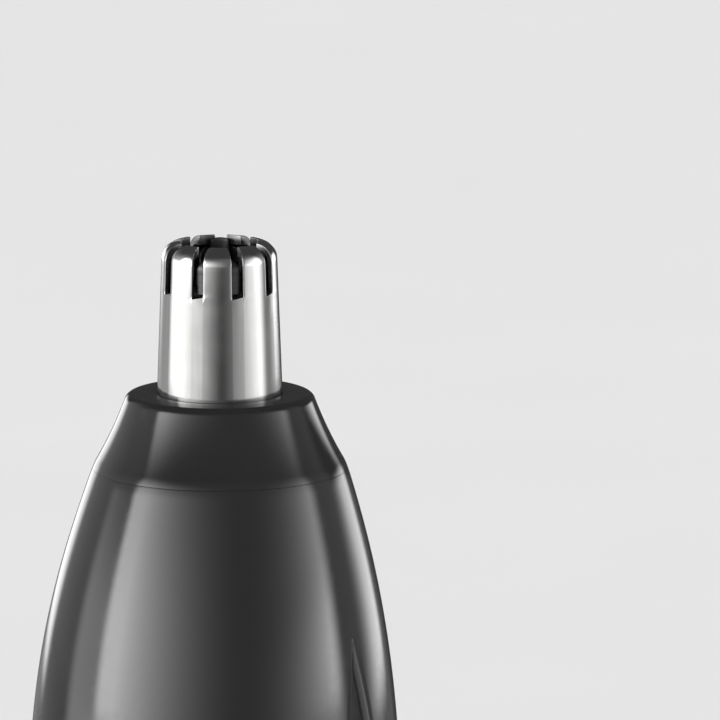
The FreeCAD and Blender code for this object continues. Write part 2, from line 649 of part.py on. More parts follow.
def armature():
    """Three-pole rotor on its shaft, with windings, commutator and the driving half of the coupling."""
    turned("motor_shaft", ring("0", "shaft_r", "motor_shaft_low", "motor_shaft_high"))
    hub = tube("core_hub", "shaft_r", "core_hub_r", "core_low", "core_high")
    arm = [("core_hub_r - 0.5", "-pole_half"), ("core_r - 0.4", "-pole_half"),
           ("core_r - 0.4", "pole_half"), ("core_hub_r - 0.5", "pole_half")]
    arms = about_z("core_arms", arm, "core_low", "core_high", count=3)
    shoes = about_z("core_shoes", sector("pole_shoe_r", "core_r", "shoe_half_angle"), "core_low",
                    "core_high", count=3)
    keep("armature_core", fuse("armature_core", hub, arms, shoes))
    block = [("coil_in", "-coil_half"), ("coil_out", "-coil_half"), ("coil_out", "coil_half"),
             ("coil_in", "coil_half")]
    gap = [("coil_in - 0.5", "-pole_half"), ("coil_out + 0.5", "-pole_half"),
           ("coil_out + 0.5", "pole_half"), ("coil_in - 0.5", "pole_half")]
    blocks = about_z("coil_blocks", block, "core_low - coil_end", "core_high + coil_end", count=3)
    gaps = about_z("coil_gaps", gap, "core_low", "core_high", count=3)
    keep("armature_windings", cut("armature_windings", blocks, gaps))
    barrel = tube("commutator_barrel", "shaft_r", "commutator_r", "commutator_low", "commutator_high")
    slit = [("commutator_r - 0.5", "-commutator_slit / 2"), ("commutator_r + 1", "-commutator_slit / 2"),
            ("commutator_r + 1", "commutator_slit / 2"), ("commutator_r - 0.5", "commutator_slit / 2")]
    slits = about_z("commutator_slits", slit, "commutator_low - 1", "commutator_high + 1", count=3)
    keep("commutator", cut("commutator", barrel, slits))


# ---------------------------------------------------------------- chassis and wiring
def chassis():
    cradle = tube("cradle_tube", "cradle_bore_r", "cradle_r", "deck_high", "can_high")
    roof = tube("cradle_roof", "boss_r + 0.1", "cradle_r", "can_high + 0.05", "cradle_high")
    window = box("cradle_window_cut", plus_minus("cradle_window"), ("-cradle_r - 1", "0"),
                 ("deck_high + 2", "can_high - 1.5"))
    walls = cut("cradle_walls", fuse("cradle_solid", cradle, roof, cylinder_ring_joint()), window)
    bosses, screws, holes, pockets = [], [], [], []
    for side in ("-", ""):
        place = (f"{side}screw_x", "screw_y")
        bosses.append(cylinder("cradle_boss", "boss_out_r", "deck_high", "boss_top", *place))
        holes.append(cylinder("boss_hole", "screw_r", "deck_low - 1", "screw_high", *place))
        pockets.append(cylinder("head_pocket", "screw_head_r + 0.05", "deck_low - screw_head_t - 0.05",
                                "deck_low", *place))
        head = cylinder("screw_head", "screw_head_r", "deck_low - screw_head_t", "deck_low", *place)
        shank = cylinder("screw_shank", "screw_r", "deck_low - 0.2", "screw_high", *place)
        screws.append(fuse("chassis_screw", head, shank))
    keep("motor_cradle", cut("motor_cradle", fuse("cradle_with_bosses", walls, *bosses), *holes))
    group("chassis_screws", *screws)
    deck = tube("deck", "0.8", "cradle_r", "deck_low", "deck_high")
    sleeve = tube("sleeve_tube", "sleeve_bore_r", "sleeve_r", "flange_low", "deck_low")
    flange = tube("sleeve_flange", "sleeve_bore_r", "cradle_r", "flange_low",
                  "flange_low + sleeve_flange_t")
    windows = box("sleeve_windows", plus_minus("sleeve_window"), plus_minus("cradle_r"),
                  ("flange_low + 6", "deck_low - 5"))
    notch = box("finger_notch", ("sleeve_r + 0.1", "finger_x + finger_t + 0.35"),
                plus_minus("strip_half + 0.4"),
                ("flange_low - 1", "flange_low + sleeve_flange_t + 1"))
    strip_slot = box("strip_slot", ("strip_x - 0.05", "strip_x + strip_t + 0.05"),
                     plus_minus("strip_half + 0.1"),
                     ("deck_low - 1", "deck_high + 1"))
    plus_slot = box("plus_slot", ("1.4", "2.6"), ("-4.2", "-3.6"), ("deck_low - 1", "deck_high + 1"))
    keep("battery_sleeve", cut("battery_sleeve", fuse("sleeve_solid", deck, sleeve, flange),
                               windows, notch, strip_slot, plus_slot, *holes, *pockets))
    snap = tube("snap_ring_whole", "ring_in_r", "ring_out_r", "ring_low", "ring_low + ring_t")
    gap = box("snap_ring_gap", plus_minus("1.5"), ("0", "ring_out_r + 1"),
              ("ring_low - 1", "ring_low + 2"))
    keep("chassis_snap_ring", cut("chassis_snap_ring", snap, gap))


def cylinder_ring_joint():
    """Joins the cradle's wall to its roof across the thin gap over the can."""
    return tube("cradle_shoulder", "cradle_bore_r", "cradle_r", "can_high - 0.5", "can_high + 0.5")


def lead(label, points):
    """Insulated wire along straight runs joined by tangent arcs."""
    places = [Vector(*(number(value) for value in point)) for point in points]
    edges, start = [], places[0]
    for before, corner, after in zip(places, places[1:], places[2:]):
        back, ahead = (before - corner).normalize(), (after - corner).normalize()
        reach = 0.45 * min(before.distanceToPoint(corner), corner.distanceToPoint(after))
        first, last = corner + back * reach, corner + ahead * reach
        middle_way = (back + ahead).normalize()
        half = (back.getAngle(ahead)) / 2
        radius = reach * math.tan(half)
        middle = corner + middle_way * (radius / math.sin(half) - radius)
        edges += [Part.LineSegment(start, first).toShape(), Part.Arc(first, middle, last).toShape()]
        start = last
    edges.append(Part.LineSegment(start, places[-1]).toShape())
    path = Part.Wire(edges)
    section = Part.Wire(Part.Circle(places[0], places[1] - places[0], number("lead_r")).toShape())
    item = doc.addObject("Part::Feature", label)
    item.Shape = path.makePipeShell([section], True, True)
    area = math.pi * number("lead_r") ** 2
    assert abs(item.Shape.Volume / (area * path.Length) - 1) < 0.05, f"{label} is not a sound tube"
    keep(label, item)


def contacts_and_leads():
    disc = cylinder("plus_disc", "plus_plate_r", "plus_plate_z", "plus_plate_z + plus_plate_t")
    tab = box("plus_tab", ("1.5", "2.5"), ("-4.05", "-3.75"), ("plus_plate_z", "deck_high + 1.2"))
    keep("positive_contact", fuse("positive_contact", disc, tab))
    strip = box("strip_upright", ("strip_x", "strip_x + strip_t"), plus_minus("strip_half"),
                ("strip_low", "strip_high"))
    foot = box("strip_top", ("terminal_x + 0.25", "strip_x + strip_t"), plus_minus("1"),
               ("strip_high - 0.3", "strip_high"))
    keep("negative_strip", fuse("negative_strip", strip, foot))
    switch_front = "switch_base_y - contact_t - lead_r"
    lead("battery_lead", [
        ("2", "-3.7 - lead_r - 0.36", "deck_high + 0.9"),
        ("2", "-6.4", "deck_high + 0.9"),
        ("1.2", switch_front, "deck_high + 2.4"),
        ("0", switch_front, "switch_base_low + 0.6"),
    ])
    lead("motor_lead", [
        ("-terminal_x - 0.2 - lead_r", "0", "terminal_low + 0.8"),
        ("-terminal_x - 0.2 - lead_r", "-5.6", "terminal_low + 0.8"),
        ("-5.6", "-8.6", "terminal_low + 3.6"),
        ("-5.3", "-8.7", "switch_base_high - 3"),
        ("-switch_base_half - lead_r * 0.98", "switch_base_y + 0.7", "switch_base_high - 0.4"),
    ])


# ---------------------------------------------------------------- base cap and cell
def base_cap():
    body = new_body("base_cap")
    edge = "band_low * 0.8"
    revolve(body, [
        ("0", "0"),
        (f"base_r - {edge}", "0", edge, 1),
        ("base_r", edge),
        ("base_r", "band_high", "cap_flare * 3", 1),
        ("skin_r0", "cap_split - seam"),
        ("spigot_r", "cap_split - seam"),
        ("spigot_r", "spigot_high - 0.4"),
        ("spigot_r - 0.4", "spigot_high"),
        ("cap_bore_r", "spigot_high"),
        ("cap_bore_r", "cap_floor"),
        ("0", "cap_floor"),
    ])
    groove(body, ring("cap_groove_r", "spigot_r + 1", "cap_groove_z", "cap_groove_z + cap_groove_h"))
    for index in range(int(DIMS["grip_count"])):
        low = f"grip_low + {index} * grip_step"
        groove(body, [
            ("base_r + 0.35 - grip_depth", f"{low} + 0.35"),
            ("base_r + 1.5", low),
            ("base_r + 1.5", f"{low} + 0.7"),
        ])
    keep("base_cap", body)
    torus("cap_o_ring", "cap_ring_r", "cap_ring_wire", "cap_groove_z + cap_groove_h / 2")
    plate = cylinder("cap_plate", "cap_plate_r", "cap_floor", "cap_floor + cap_plate_t")
    arm = box("cap_plate_arm", ("0", "finger_x + finger_t"), plus_minus("strip_half"),
              ("cap_floor", "cap_floor + cap_plate_t"))
    finger = box("cap_finger", ("finger_x", "finger_x + finger_t"), plus_minus("strip_half"),
                 ("cap_floor", "finger_high"))
    keep("cap_contact", fuse("cap_contact", plate, arm, finger))
    spring("battery_spring", "cap_spring_r", "cap_spring_wire", "cap_floor + cap_plate_t",
           "cell_low - 0.05",
           "cap_spring_pitch", "cap_spring_cone")


def cell():
    """AA cell, plus end up: steel can, paste core, printed jacket, insulating washer and plus terminal."""
    low, high, edge = "cell_low", "cell_high", "cell_edge"
    turned("battery_can", [
        ("0", low),
        (f"cell_r - {edge}", low, edge, 1),
        ("cell_r", f"{low} + {edge}"),
        ("cell_r", f"{high} - {edge}", edge, 1),
        (f"cell_r - {edge}", high),
        ("nub_r", high),
        ("nub_r", f"{high} - cell_wall"),
        (f"cell_r - {edge} - cell_wall", f"{high} - cell_wall"),
        ("cell_r - cell_wall", f"{high} - {edge} - cell_wall"),
        ("cell_r - cell_wall", f"{low} + {edge} + cell_wall"),
        (f"cell_r - {edge} - cell_wall", f"{low} + cell_wall"),
        ("0", f"{low} + cell_wall"),
    ])
    turned("battery_core", [
        ("0", f"{low} + cell_wall"),
        (f"cell_r - {edge} - cell_wall", f"{low} + cell_wall"),
        ("cell_r - cell_wall", f"{low} + {edge} + cell_wall"),
        ("cell_r - cell_wall", f"{high} - {edge} - cell_wall"),
        (f"cell_r - {edge} - cell_wall", f"{high} - cell_wall"),
        ("0", f"{high} - cell_wall"),
    ])
    turned("battery_jacket", ring("cell_r", "jacket_r", "jacket_low", "jacket_high - 0.5"))
    turned("battery_insulator", ring("nub_r", "insulator_r", high, f"{high} + insulator_t"))
    turned("battery_terminal", [
        ("0", f"{high} - cell_wall"),
        ("nub_r", f"{high} - cell_wall"),
        ("nub_r", "nub_high - 0.3", "0.3", 1),
        ("nub_r - 0.3", "nub_high"),
        ("0", "nub_high"),
    ])


# ---------------------------------------------------------------- build, check and write
def build():
    guard()
    collar()
    retainer()
    rotary_cutter()
    shaft_and_small_parts()
    spring("cutter_spring", "spring_r", "spring_wire", "washer_low + washer_t", "spring_high",
           "spring_pitch")
    dog_coupling("driven_coupling", "driven_low", "driven_high", "driven_tooth_low", "driven_low", "90")
    dog_coupling("drive_coupling", "driver_low", "driver_high", "driver_high", "driver_tooth_high",
                 "0.001")
    housing()
    torus("neck_o_ring", "neck_ring_r", "neck_ring_wire", "neck_groove_z + neck_groove_h / 2")
    leaf_panel()
    switch()
    switch_contacts()
    motor_case()
    armature()
    chassis()
    contacts_and_leads()
    base_cap()
    cell()


def check_and_write():
    doc.recompute()
    failed = [item.Name for item in doc.Objects if {"Invalid", "Error"} & set(item.State)]
    assert not failed, f"these objects failed: {failed}"
    for label, item in nodes.items():
        sound = not item.Shape.isNull() and item.Shape.isValid() and item.Shape.Solids
        assert sound, f"{label} is not sound"
    os.makedirs("parts", exist_ok=True)
    for label, item in nodes.items():
        item.Shape.exportStep(f"parts/{label}.step")
        print(f"{label}: {len(item.Shape.Solids)} solid(s), {item.Shape.Volume:.2f} mm3")


fill_sheet()
build()
check_and_write()
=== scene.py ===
import json
import math

import bmesh
import bpy
import numpy as np
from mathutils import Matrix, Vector


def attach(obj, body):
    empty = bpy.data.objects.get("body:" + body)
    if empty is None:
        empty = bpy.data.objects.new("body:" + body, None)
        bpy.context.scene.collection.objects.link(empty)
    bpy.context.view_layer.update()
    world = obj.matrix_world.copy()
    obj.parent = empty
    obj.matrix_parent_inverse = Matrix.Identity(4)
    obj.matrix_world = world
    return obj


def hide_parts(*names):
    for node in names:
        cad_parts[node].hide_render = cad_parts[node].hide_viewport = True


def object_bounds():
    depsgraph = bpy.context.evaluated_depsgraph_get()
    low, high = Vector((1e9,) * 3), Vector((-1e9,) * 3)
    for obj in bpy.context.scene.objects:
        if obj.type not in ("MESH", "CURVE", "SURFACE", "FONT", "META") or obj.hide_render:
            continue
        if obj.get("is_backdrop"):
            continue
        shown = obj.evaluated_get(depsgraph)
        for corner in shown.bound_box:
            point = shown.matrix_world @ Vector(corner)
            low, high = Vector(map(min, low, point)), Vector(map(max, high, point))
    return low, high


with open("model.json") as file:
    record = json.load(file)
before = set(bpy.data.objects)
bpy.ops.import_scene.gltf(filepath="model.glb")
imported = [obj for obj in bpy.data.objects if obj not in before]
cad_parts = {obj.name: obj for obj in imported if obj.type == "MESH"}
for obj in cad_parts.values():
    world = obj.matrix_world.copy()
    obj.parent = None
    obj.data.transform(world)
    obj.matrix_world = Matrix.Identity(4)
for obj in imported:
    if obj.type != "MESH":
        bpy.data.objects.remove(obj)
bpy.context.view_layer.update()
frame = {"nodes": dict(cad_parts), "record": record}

MM = 0.001
NEAR = 1e-6             # two lengths in millimetres are the same within this
BESIDE = 0.04           # and two rows are one row within this
NODES = frame["nodes"]
SLOTS = {row["node"]: row["material_slot"] for row in frame["record"]["subparts"]}


# ---------------------------------------------------------------- outlines, in millimetres
def arc(centre, radius, start, end, steps):
    """Points on an arc, angles in degrees."""
    angles = [math.radians(start + (end - start) * i / steps) for i in range(steps + 1)]
    return [(centre[0] + radius * math.cos(a), centre[1] + radius * math.sin(a)) for a in angles]


def bulge(start, end, radius, side, steps):
    """Points on the short arc from start to end. Its centre is left (1) or right (-1) of the way."""
    chord = (end[0] - start[0], end[1] - start[1])
    length = math.hypot(*chord)
    height = math.sqrt(radius**2 - length**2 / 4)
    centre = ((start[0] + end[0]) / 2 - chord[1] / length * height * side,
              (start[1] + end[1]) / 2 + chord[0] / length * height * side)
    first = math.degrees(math.atan2(start[1] - centre[1], start[0] - centre[0]))
    last = math.degrees(math.atan2(end[1] - centre[1], end[0] - centre[0]))
    turn = (last - first + 180) % 360 - 180
    return arc(centre, radius, first, first + turn, steps)


def rounded(corners, radius, steps):
    """A closed outline from (u, v) corners, each rounded to the radius."""
    points, count = [], len(corners)
    for i, corner in enumerate(corners):
        here = Vector(corner)
        back = (Vector(corners[i - 1]) - here).normalized()
        ahead = (Vector(corners[(i + 1) % count]) - here).normalized()
        half = back.angle(ahead) / 2
        reach = radius / math.tan(half)
        centre = here + (back + ahead).normalized() * (radius / math.sin(half))
        first, last = here + back * reach - centre, here + ahead * reach - centre
        turn = first.angle_signed(last)
        for k in range(steps + 1):
            angle = -turn * k / steps
            points.append((centre.x + first.x * math.cos(angle) - first.y * math.sin(angle),
                           centre.y + first.x * math.sin(angle) + first.y * math.cos(angle)))
    return points


def rows_between(low, high, step, *extra):
    """Even heights about a step apart, and the extra ones, which push out any even one beside them."""
    count = max(1, round((high - low) / step))
    rows = {round(low + (high - low) * k / count, 4) for k in range(count + 1)}
    close = [value for value in extra if low < value < high]
    rows = {z for z in rows if all(abs(z - value) > BESIDE for value in close)}
    return sorted(rows | set(close))


# ---------------------------------------------------------------- pieces
WELD = 1e-7             # points nearer than this, in metres, are one point
NO_LENGTH = 1e-8        # and an edge shorter than this is no edge


def add_piece(name, points, faces, body, slot_name, replaced=(), material=None, sharp=35, weighted=True):
    """A smooth piece from points in millimetres, on a body. Edges over sharp degrees stay sharp."""
    mesh = bpy.data.meshes.new(name)
    mesh.from_pydata([(x * MM, y * MM, z * MM) for x, y, z in points], [], faces)
    bm = bmesh.new()
    bm.from_mesh(mesh)
    bmesh.ops.remove_doubles(bm, verts=bm.verts, dist=WELD)
    bmesh.ops.dissolve_degenerate(bm, dist=NO_LENGTH, edges=bm.edges)
    bmesh.ops.recalc_face_normals(bm, faces=bm.faces)
    bm.to_mesh(mesh)
    bm.free()
    piece = bpy.data.objects.new(name, mesh)
    bpy.context.scene.collection.objects.link(piece)
    mesh.materials.append(material or MATERIALS[slot_name])
    mesh.shade_smooth()
    mesh.set_sharp_from_angle(angle=math.radians(sharp))
    if weighted:
        normals = piece.modifiers.new("normals", "WEIGHTED_NORMAL")
        normals.keep_sharp = True
        normals.weight = 50
    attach(piece, body)
    if replaced:
        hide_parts(*replaced)
    return piece


def soften(piece, width, segments, angle):
    """Rounds the piece's sharp edges."""
    bevel = piece.modifiers.new("edges", "BEVEL")
    bevel.width = width * MM
    bevel.segments = segments
    bevel.limit_method = "ANGLE"
    bevel.angle_limit = math.radians(angle)
    bevel.harden_normals = False
    normals = piece.modifiers.new("normals", "WEIGHTED_NORMAL")
    normals.keep_sharp = False
    normals.weight = 80


def band(here, above, width, gaps=()):
    """Faces between two closed rings of points that start at here and above. gaps leaves out columns."""
    return [[here + k, here + (k + 1) % width, above + (k + 1) % width, above + k]
            for k in range(width) if k not in gaps]


def disc(start, width):
    """One face over a closed ring of points."""
    return [start + k for k in range(width)]


def lathe(outline, segments):
    """Points and faces of a closed (r, z) outline turned about Z; points on the axis are shared."""
    points, rings = [], []
    for r, z in outline:
        if r < NEAR:
            rings.append([len(points)] * segments)
            points.append((0, 0, z))
            continue
        rings.append(list(range(len(points), len(points) + segments)))
        for k in range(segments):
            angle = 2 * math.pi * k / segments
            points.append((r * math.cos(angle), r * math.sin(angle), z))
    faces = []
    for ring, following in zip(rings, rings[1:] + rings[:1]):
        for k in range(segments):
            corners = [ring[k], ring[(k + 1) % segments], following[(k + 1) % segments], following[k]]
            corners = list(dict.fromkeys(corners))
            if len(corners) > 2:
                faces.append(corners)
    return points, faces


# ---------------------------------------------------------------- materials
def new_material(name, base, roughness, metallic=0.0, **sockets):
    """A Principled material. Values that are the same all over are set on the shader's own sockets."""
    material = bpy.data.materials.new(name)
    material.use_nodes = True
    tree = material.node_tree
    shader = tree.nodes["Principled BSDF"]
    shader.inputs["Base Color"].default_value = (*base, 1)
    shader.inputs["Roughness"].default_value = roughness
    shader.inputs["Metallic"].default_value = metallic
    for socket, value in sockets.items():
        shader.inputs[socket.replace("_", " ")].default_value = value
    return material, tree, shader


NOISE_LOW, NOISE_HIGH = 0.35, 0.65       # most of a noise texture's values lie between these


def noise(tree, per_mm, detail, stretch=(1, 1, 1), rough=0.5):
    """Noise fixed to the object, with so many features to the millimetre along each axis."""
    place = tree.nodes.new("ShaderNodeTexCoord")
    mapping = tree.nodes.new("ShaderNodeMapping")
    mapping.inputs["Scale"].default_value = [per_mm / MM * axis for axis in stretch]
    texture = tree.nodes.new("ShaderNodeTexNoise")
    texture.inputs["Scale"].default_value = 1.0
    texture.inputs["Detail"].default_value = detail
    texture.inputs["Roughness"].default_value = rough
    tree.links.new(place.outputs["Object"], mapping.inputs["Vector"])
    tree.links.new(mapping.outputs["Vector"], texture.inputs["Vector"])
    return texture.outputs["Fac"]


def spread(tree, value, low, high):
    """Noise stretched to run from low to high."""
    node = tree.nodes.new("ShaderNodeMapRange")
    node.inputs["From Min"].default_value = NOISE_LOW
    node.inputs["From Max"].default_value = NOISE_HIGH
    node.inputs["To Min"].default_value = low
    node.inputs["To Max"].default_value = high
    tree.links.new(value, node.inputs["Value"])
    return node.outputs["Result"]


def colours(tree, value, dark, light):
    """Noise that runs from a dark to a light colour."""
    node = tree.nodes.new("ShaderNodeValToRGB")
    first, last = node.color_ramp.elements
    first.position, last.position = NOISE_LOW, NOISE_HIGH
    first.color, last.color = (*dark, 1), (*light, 1)
    tree.links.new(value, node.inputs["Fac"])
    return node.outputs["Color"]


def bump(tree, shader, *layers):
    """Relief from (height, depth in mm) layers, one on another."""
    normal = None
    for height, depth in layers:
        node = tree.nodes.new("ShaderNodeBump")
        node.inputs["Distance"].default_value = depth * MM
        tree.links.new(height, node.inputs["Height"])
        if normal:
            tree.links.new(normal, node.inputs["Normal"])
        normal = node.outputs["Normal"]
    tree.links.new(normal, shader.inputs["Normal"])


def finish(name, dark, light, roughness, metallic=0.0, grain=1.0, stretch=(1, 1, 1), relief=0.0,
           fine=12.0, fine_relief=0.0, **sockets):
    """Colour and roughness that drift with a coarse grain, with relief from the coarse and a fine one."""
    material, tree, shader = new_material(name, dark, roughness[0], metallic, **sockets)
    coarse = noise(tree, grain, 4, stretch)
    small = noise(tree, fine, 2, stretch)
    tree.links.new(colours(tree, coarse, dark, light), shader.inputs["Base Color"])
    tree.links.new(spread(tree, small, *roughness), shader.inputs["Roughness"])
    bump(tree, shader, (coarse, relief), (small, fine_relief))
    return material


def grey(level):
    return level, level, level


LINES_ROUND = (0.02, 0.02, 1.0)      # turning lines: even round Z, quick along it
LINES_UP = (1.0, 1.0, 0.03)          # drawing lines: quick across, even along Z
FINISHES = {
    "dark_gloss_plastic": dict(
        dark=grey(0.0175), light=grey(0.0195), roughness=(0.09, 0.13), grain=0.05, relief=0.01, fine=1.6,
        fine_relief=0.0005, IOR=1.6),
    "soft_panel": dict(
        dark=grey(0.011), light=grey(0.016), roughness=(0.42, 0.54), grain=1.2, relief=0.003, fine=7.0,
        fine_relief=0.006, IOR=1.38),
    "button_plastic": dict(
        dark=grey(0.02), light=grey(0.026), roughness=(0.24, 0.36), grain=0.7, relief=0.003, fine=6.0,
        fine_relief=0.004, IOR=1.55),
    "inner_plastic": dict(
        dark=grey(0.05), light=grey(0.065), roughness=(0.38, 0.52), grain=0.5, relief=0.01, fine=4.0,
        fine_relief=0.006),
    "black_rubber": dict(
        dark=grey(0.012), light=grey(0.02), roughness=(0.5, 0.68), grain=1.5, relief=0.006, fine=9.0,
        fine_relief=0.006),
    "phenolic": dict(
        dark=(0.13, 0.05, 0.02), light=(0.2, 0.085, 0.035), roughness=(0.4, 0.55), grain=1.0,
        stretch=(1, 1, 0.25), relief=0.004, fine=6.0, fine_relief=0.004),
    "contact_brass": dict(
        dark=(0.72, 0.5, 0.2), light=(0.86, 0.64, 0.3), roughness=(0.2, 0.36), metallic=1.0, grain=1.5,
        stretch=LINES_UP, relief=0.001, fine=9.0, fine_relief=0.0015),
    "zinc_steel": dict(
        dark=(0.5, 0.51, 0.53), light=(0.66, 0.67, 0.69), roughness=(0.26, 0.42), metallic=1.0, grain=0.6,
        relief=0.003, fine=5.0, fine_relief=0.002),
    "sintered_bronze": dict(
        dark=(0.42, 0.26, 0.12), light=(0.58, 0.38, 0.19), roughness=(0.36, 0.52), metallic=1.0,
        grain=4.0, relief=0.01, fine=14.0, fine_relief=0.01),
    "ferrite": dict(
        dark=grey(0.035), light=grey(0.06), roughness=(0.5, 0.7), grain=3.0, relief=0.01, fine=12.0,
        fine_relief=0.01),
    "dark_screw": dict(
        dark=grey(0.1), light=grey(0.16), roughness=(0.28, 0.42), metallic=1.0, grain=1.0, relief=0.002,
        fine=8.0, fine_relief=0.002),
    "spring_steel": dict(
        dark=(0.34, 0.34, 0.35), light=(0.48, 0.47, 0.46), roughness=(0.2, 0.34), metallic=1.0, grain=2.0,
        relief=0.001, fine=12.0, fine_relief=0.001),
    "nickel_strip": dict(
        dark=(0.6, 0.58, 0.54), light=(0.74, 0.72, 0.67), roughness=(0.16, 0.3), metallic=1.0, grain=1.5,
        stretch=LINES_UP, relief=0.001, fine=8.0, fine_relief=0.001),
    "red_insulation": dict(
        dark=(0.4, 0.012, 0.01), light=(0.5, 0.02, 0.015), roughness=(0.34, 0.46), grain=0.8,
        relief=0.002, fine=6.0, fine_relief=0.002),
    "black_insulation": dict(
        dark=grey(0.012), light=grey(0.02), roughness=(0.34, 0.46), grain=0.8, relief=0.002, fine=6.0,
        fine_relief=0.002),
    "blade_steel": dict(
        dark=(0.1, 0.1, 0.105), light=(0.14, 0.14, 0.145), roughness=(0.34, 0.46), metallic=1.0,
        grain=3.0, stretch=LINES_ROUND, relief=0.002, fine=11.0, fine_relief=0.001),
    "ground_steel": dict(
        dark=(0.56, 0.56, 0.57), light=(0.68, 0.68, 0.69), roughness=(0.12, 0.24), metallic=1.0,
        grain=4.0, stretch=LINES_ROUND, relief=0.0008, fine=14.0, fine_relief=0.0006),
    "acetal": dict(
        dark=(0.72, 0.7, 0.65), light=(0.8, 0.78, 0.74), roughness=(0.3, 0.42), grain=0.6, relief=0.004,
        fine=5.0, fine_relief=0.003, Subsurface_Weight=0.1, Subsurface_Scale=0.001),
    "laminated_iron": dict(
        dark=(0.16, 0.15, 0.145), light=(0.4, 0.39, 0.38), roughness=(0.3, 0.5), metallic=1.0, grain=2.0,
        stretch=LINES_ROUND, relief=0.03, fine=8.0, fine_relief=0.004),
    "enamelled_copper": dict(
        dark=(0.36, 0.1, 0.03), light=(0.62, 0.22, 0.08), roughness=(0.16, 0.3), metallic=0.7, grain=3.2,
        stretch=LINES_UP, relief=0.06, fine=10.0, fine_relief=0.004, Coat_Weight=0.6, Coat_Roughness=0.1),
    "copper": dict(
        dark=(0.6, 0.24, 0.12), light=(0.82, 0.4, 0.22), roughness=(0.2, 0.36), metallic=1.0, grain=3.0,
        stretch=LINES_ROUND, relief=0.001, fine=12.0, fine_relief=0.001),
    "cell_paste": dict(
        dark=grey(0.02), light=grey(0.045), roughness=(0.7, 0.9), grain=3.0, relief=0.03, fine=12.0,
        fine_relief=0.01),
    "cell_jacket": dict(
        dark=(0.03, 0.032, 0.038), light=(0.045, 0.048, 0.055), roughness=(0.2, 0.3), grain=0.4,
        relief=0.004, fine=5.0, fine_relief=0.002, Coat_Weight=0.5, Coat_Roughness=0.08),
    "fibre_washer": dict(
        dark=(0.42, 0.4, 0.35), light=(0.62, 0.6, 0.54), roughness=(0.7, 0.85), grain=4.0,
        stretch=(1, 0.3, 1), relief=0.01, fine=14.0, fine_relief=0.01),
}
MATERIALS = {name: finish(name, **settings) for name, settings in FINISHES.items()}


def polished_steel():
    """Turned and polished steel: fine lines round the axis and faint vertical drawing marks."""
    material, tree, shader = new_material("polished_steel", (0.62, 0.615, 0.61), 0.13, 1.0)
    turned = noise(tree, 9.0, 3, LINES_ROUND)
    marks = noise(tree, 1.1, 4, LINES_UP, 0.6)
    handled = noise(tree, 0.35, 3)
    shade = colours(tree, marks, (0.59, 0.585, 0.58), (0.66, 0.655, 0.65))
    tree.links.new(shade, shader.inputs["Base Color"])
    tree.links.new(spread(tree, handled, 0.1, 0.15), shader.inputs["Roughness"])
    bump(tree, shader, (turned, 0.0006), (marks, 0.0012))
    return material


MATERIALS["polished_steel"] = polished_steel()
# painted light: a lighter copy of the body's gloss plastic, so the recess's sloping wall looks lit
LIT_TRIM_PLASTIC = finish(
    "lit_trim_plastic", grey(0.055), grey(0.062), (0.09, 0.13), grain=0.1, relief=0.002, fine=2.0,
    fine_relief=0.0003, IOR=1.6)
SHADED_STEEL = finish(                     # painted shade: a darker steel for the guard's inside and the walls of its slots
    "shaded_steel", grey(0.2), grey(0.27), (0.3, 0.42), 1.0, grain=2.0, stretch=LINES_ROUND, relief=0.0008,
    fine=9.0, fine_relief=0.0008)


# ---------------------------------------------------------------- housing
SKIN_STATIONS = (       # height, radius, shift of the axis towards +Y
    (16.0, 12.1, 0.0), (22.5, 12.57, 0.12), (36.0, 13.37, 0.34), (54.0, 14.0, 0.53), (73.0, 14.32, 0.58),
    (90.5, 13.85, 0.57), (102.6, 11.79, 0.27), (109.7, 9.68, 0.0))
SKIN_ORDER = len(SKIN_STATIONS) - 1     # of the polynomials through the stations
SKIN_LOW, SHOULDER = 16.0, 109.7
SKIN_MIDDLE, SKIN_REACH = (SKIN_LOW + SHOULDER) / 2, (SHOULDER - SKIN_LOW) / 2
_heights = [(z - SKIN_MIDDLE) / SKIN_REACH for z, _, _ in SKIN_STATIONS]
SKIN_R = np.polyfit(_heights, [r for _, r, _ in SKIN_STATIONS], SKIN_ORDER)
SKIN_BACK = np.polyfit(_heights, [back for _, _, back in SKIN_STATIONS], SKIN_ORDER)
SKIN_COLUMNS = 176                      # round the skin, besides those of the recess
ROW_STEP = 0.45                         # between rows of the skin and the trim
WALL = 1.5
SOCKET_TOP, CAVITY_TOP = 23.32, 107.1
SHOULDER_EASE, SHOULDER_RUN = 0.03, 0.7         # the skin turns in by so much over so much height
EDGE_EASE = 0.03                        # the row beside the skin's lower and upper edge
NECK = (                                # (r, z) from the shoulder over the grooved neck to the cavity
    (6.8, SHOULDER), (6.65, SHOULDER + 0.05), (6.6, SHOULDER + 0.2), (6.6, 110.6), (6.55, 110.65),
    (5.98, 110.65), (5.95, 110.68), (5.95, 111.42), (5.98, 111.45), (6.55, 111.45), (6.6, 111.5),
    (6.6, 112.05), (6.53, 112.23), (6.38, 112.3), (5.55, 112.3), (5.44, 112.25), (5.4, 112.14),
    (5.4, CAVITY_TOP))
SOCKET = (                              # (r, z) down the socket of the base cap
    (11.32, SOCKET_TOP), (11.32, 22.48), (10.85, 22.48), (10.85, 16.25), (10.95, 16.06),
    (11.08, SKIN_LOW))

# The leaf-shaped recess on the front, bounded by two arcs, and the slot in it for the switch's stem
LEAF_MID, LEAF_HALF_LENGTH, LEAF_HALF_WIDTH, LEAF_DEPTH = 76.7, 21.0, 2.5, 0.95
LEAF_ARC = (LEAF_HALF_LENGTH**2 + LEAF_HALF_WIDTH**2) / (2 * LEAF_HALF_WIDTH)
SLOT_HALF, SLOT_LOW, SLOT_HIGH = 1.2, 72.5, 80.9
NARROW_SHARE = 0.55                     # where the leaf is narrower than the slot, the slot's share of it
BRIM, ROOT = 0.05, 0.06                 # roundings at the brim and foot of the recess's wall
BRIM_TURNS = (0, 0.5, 1.05, math.pi / 2)
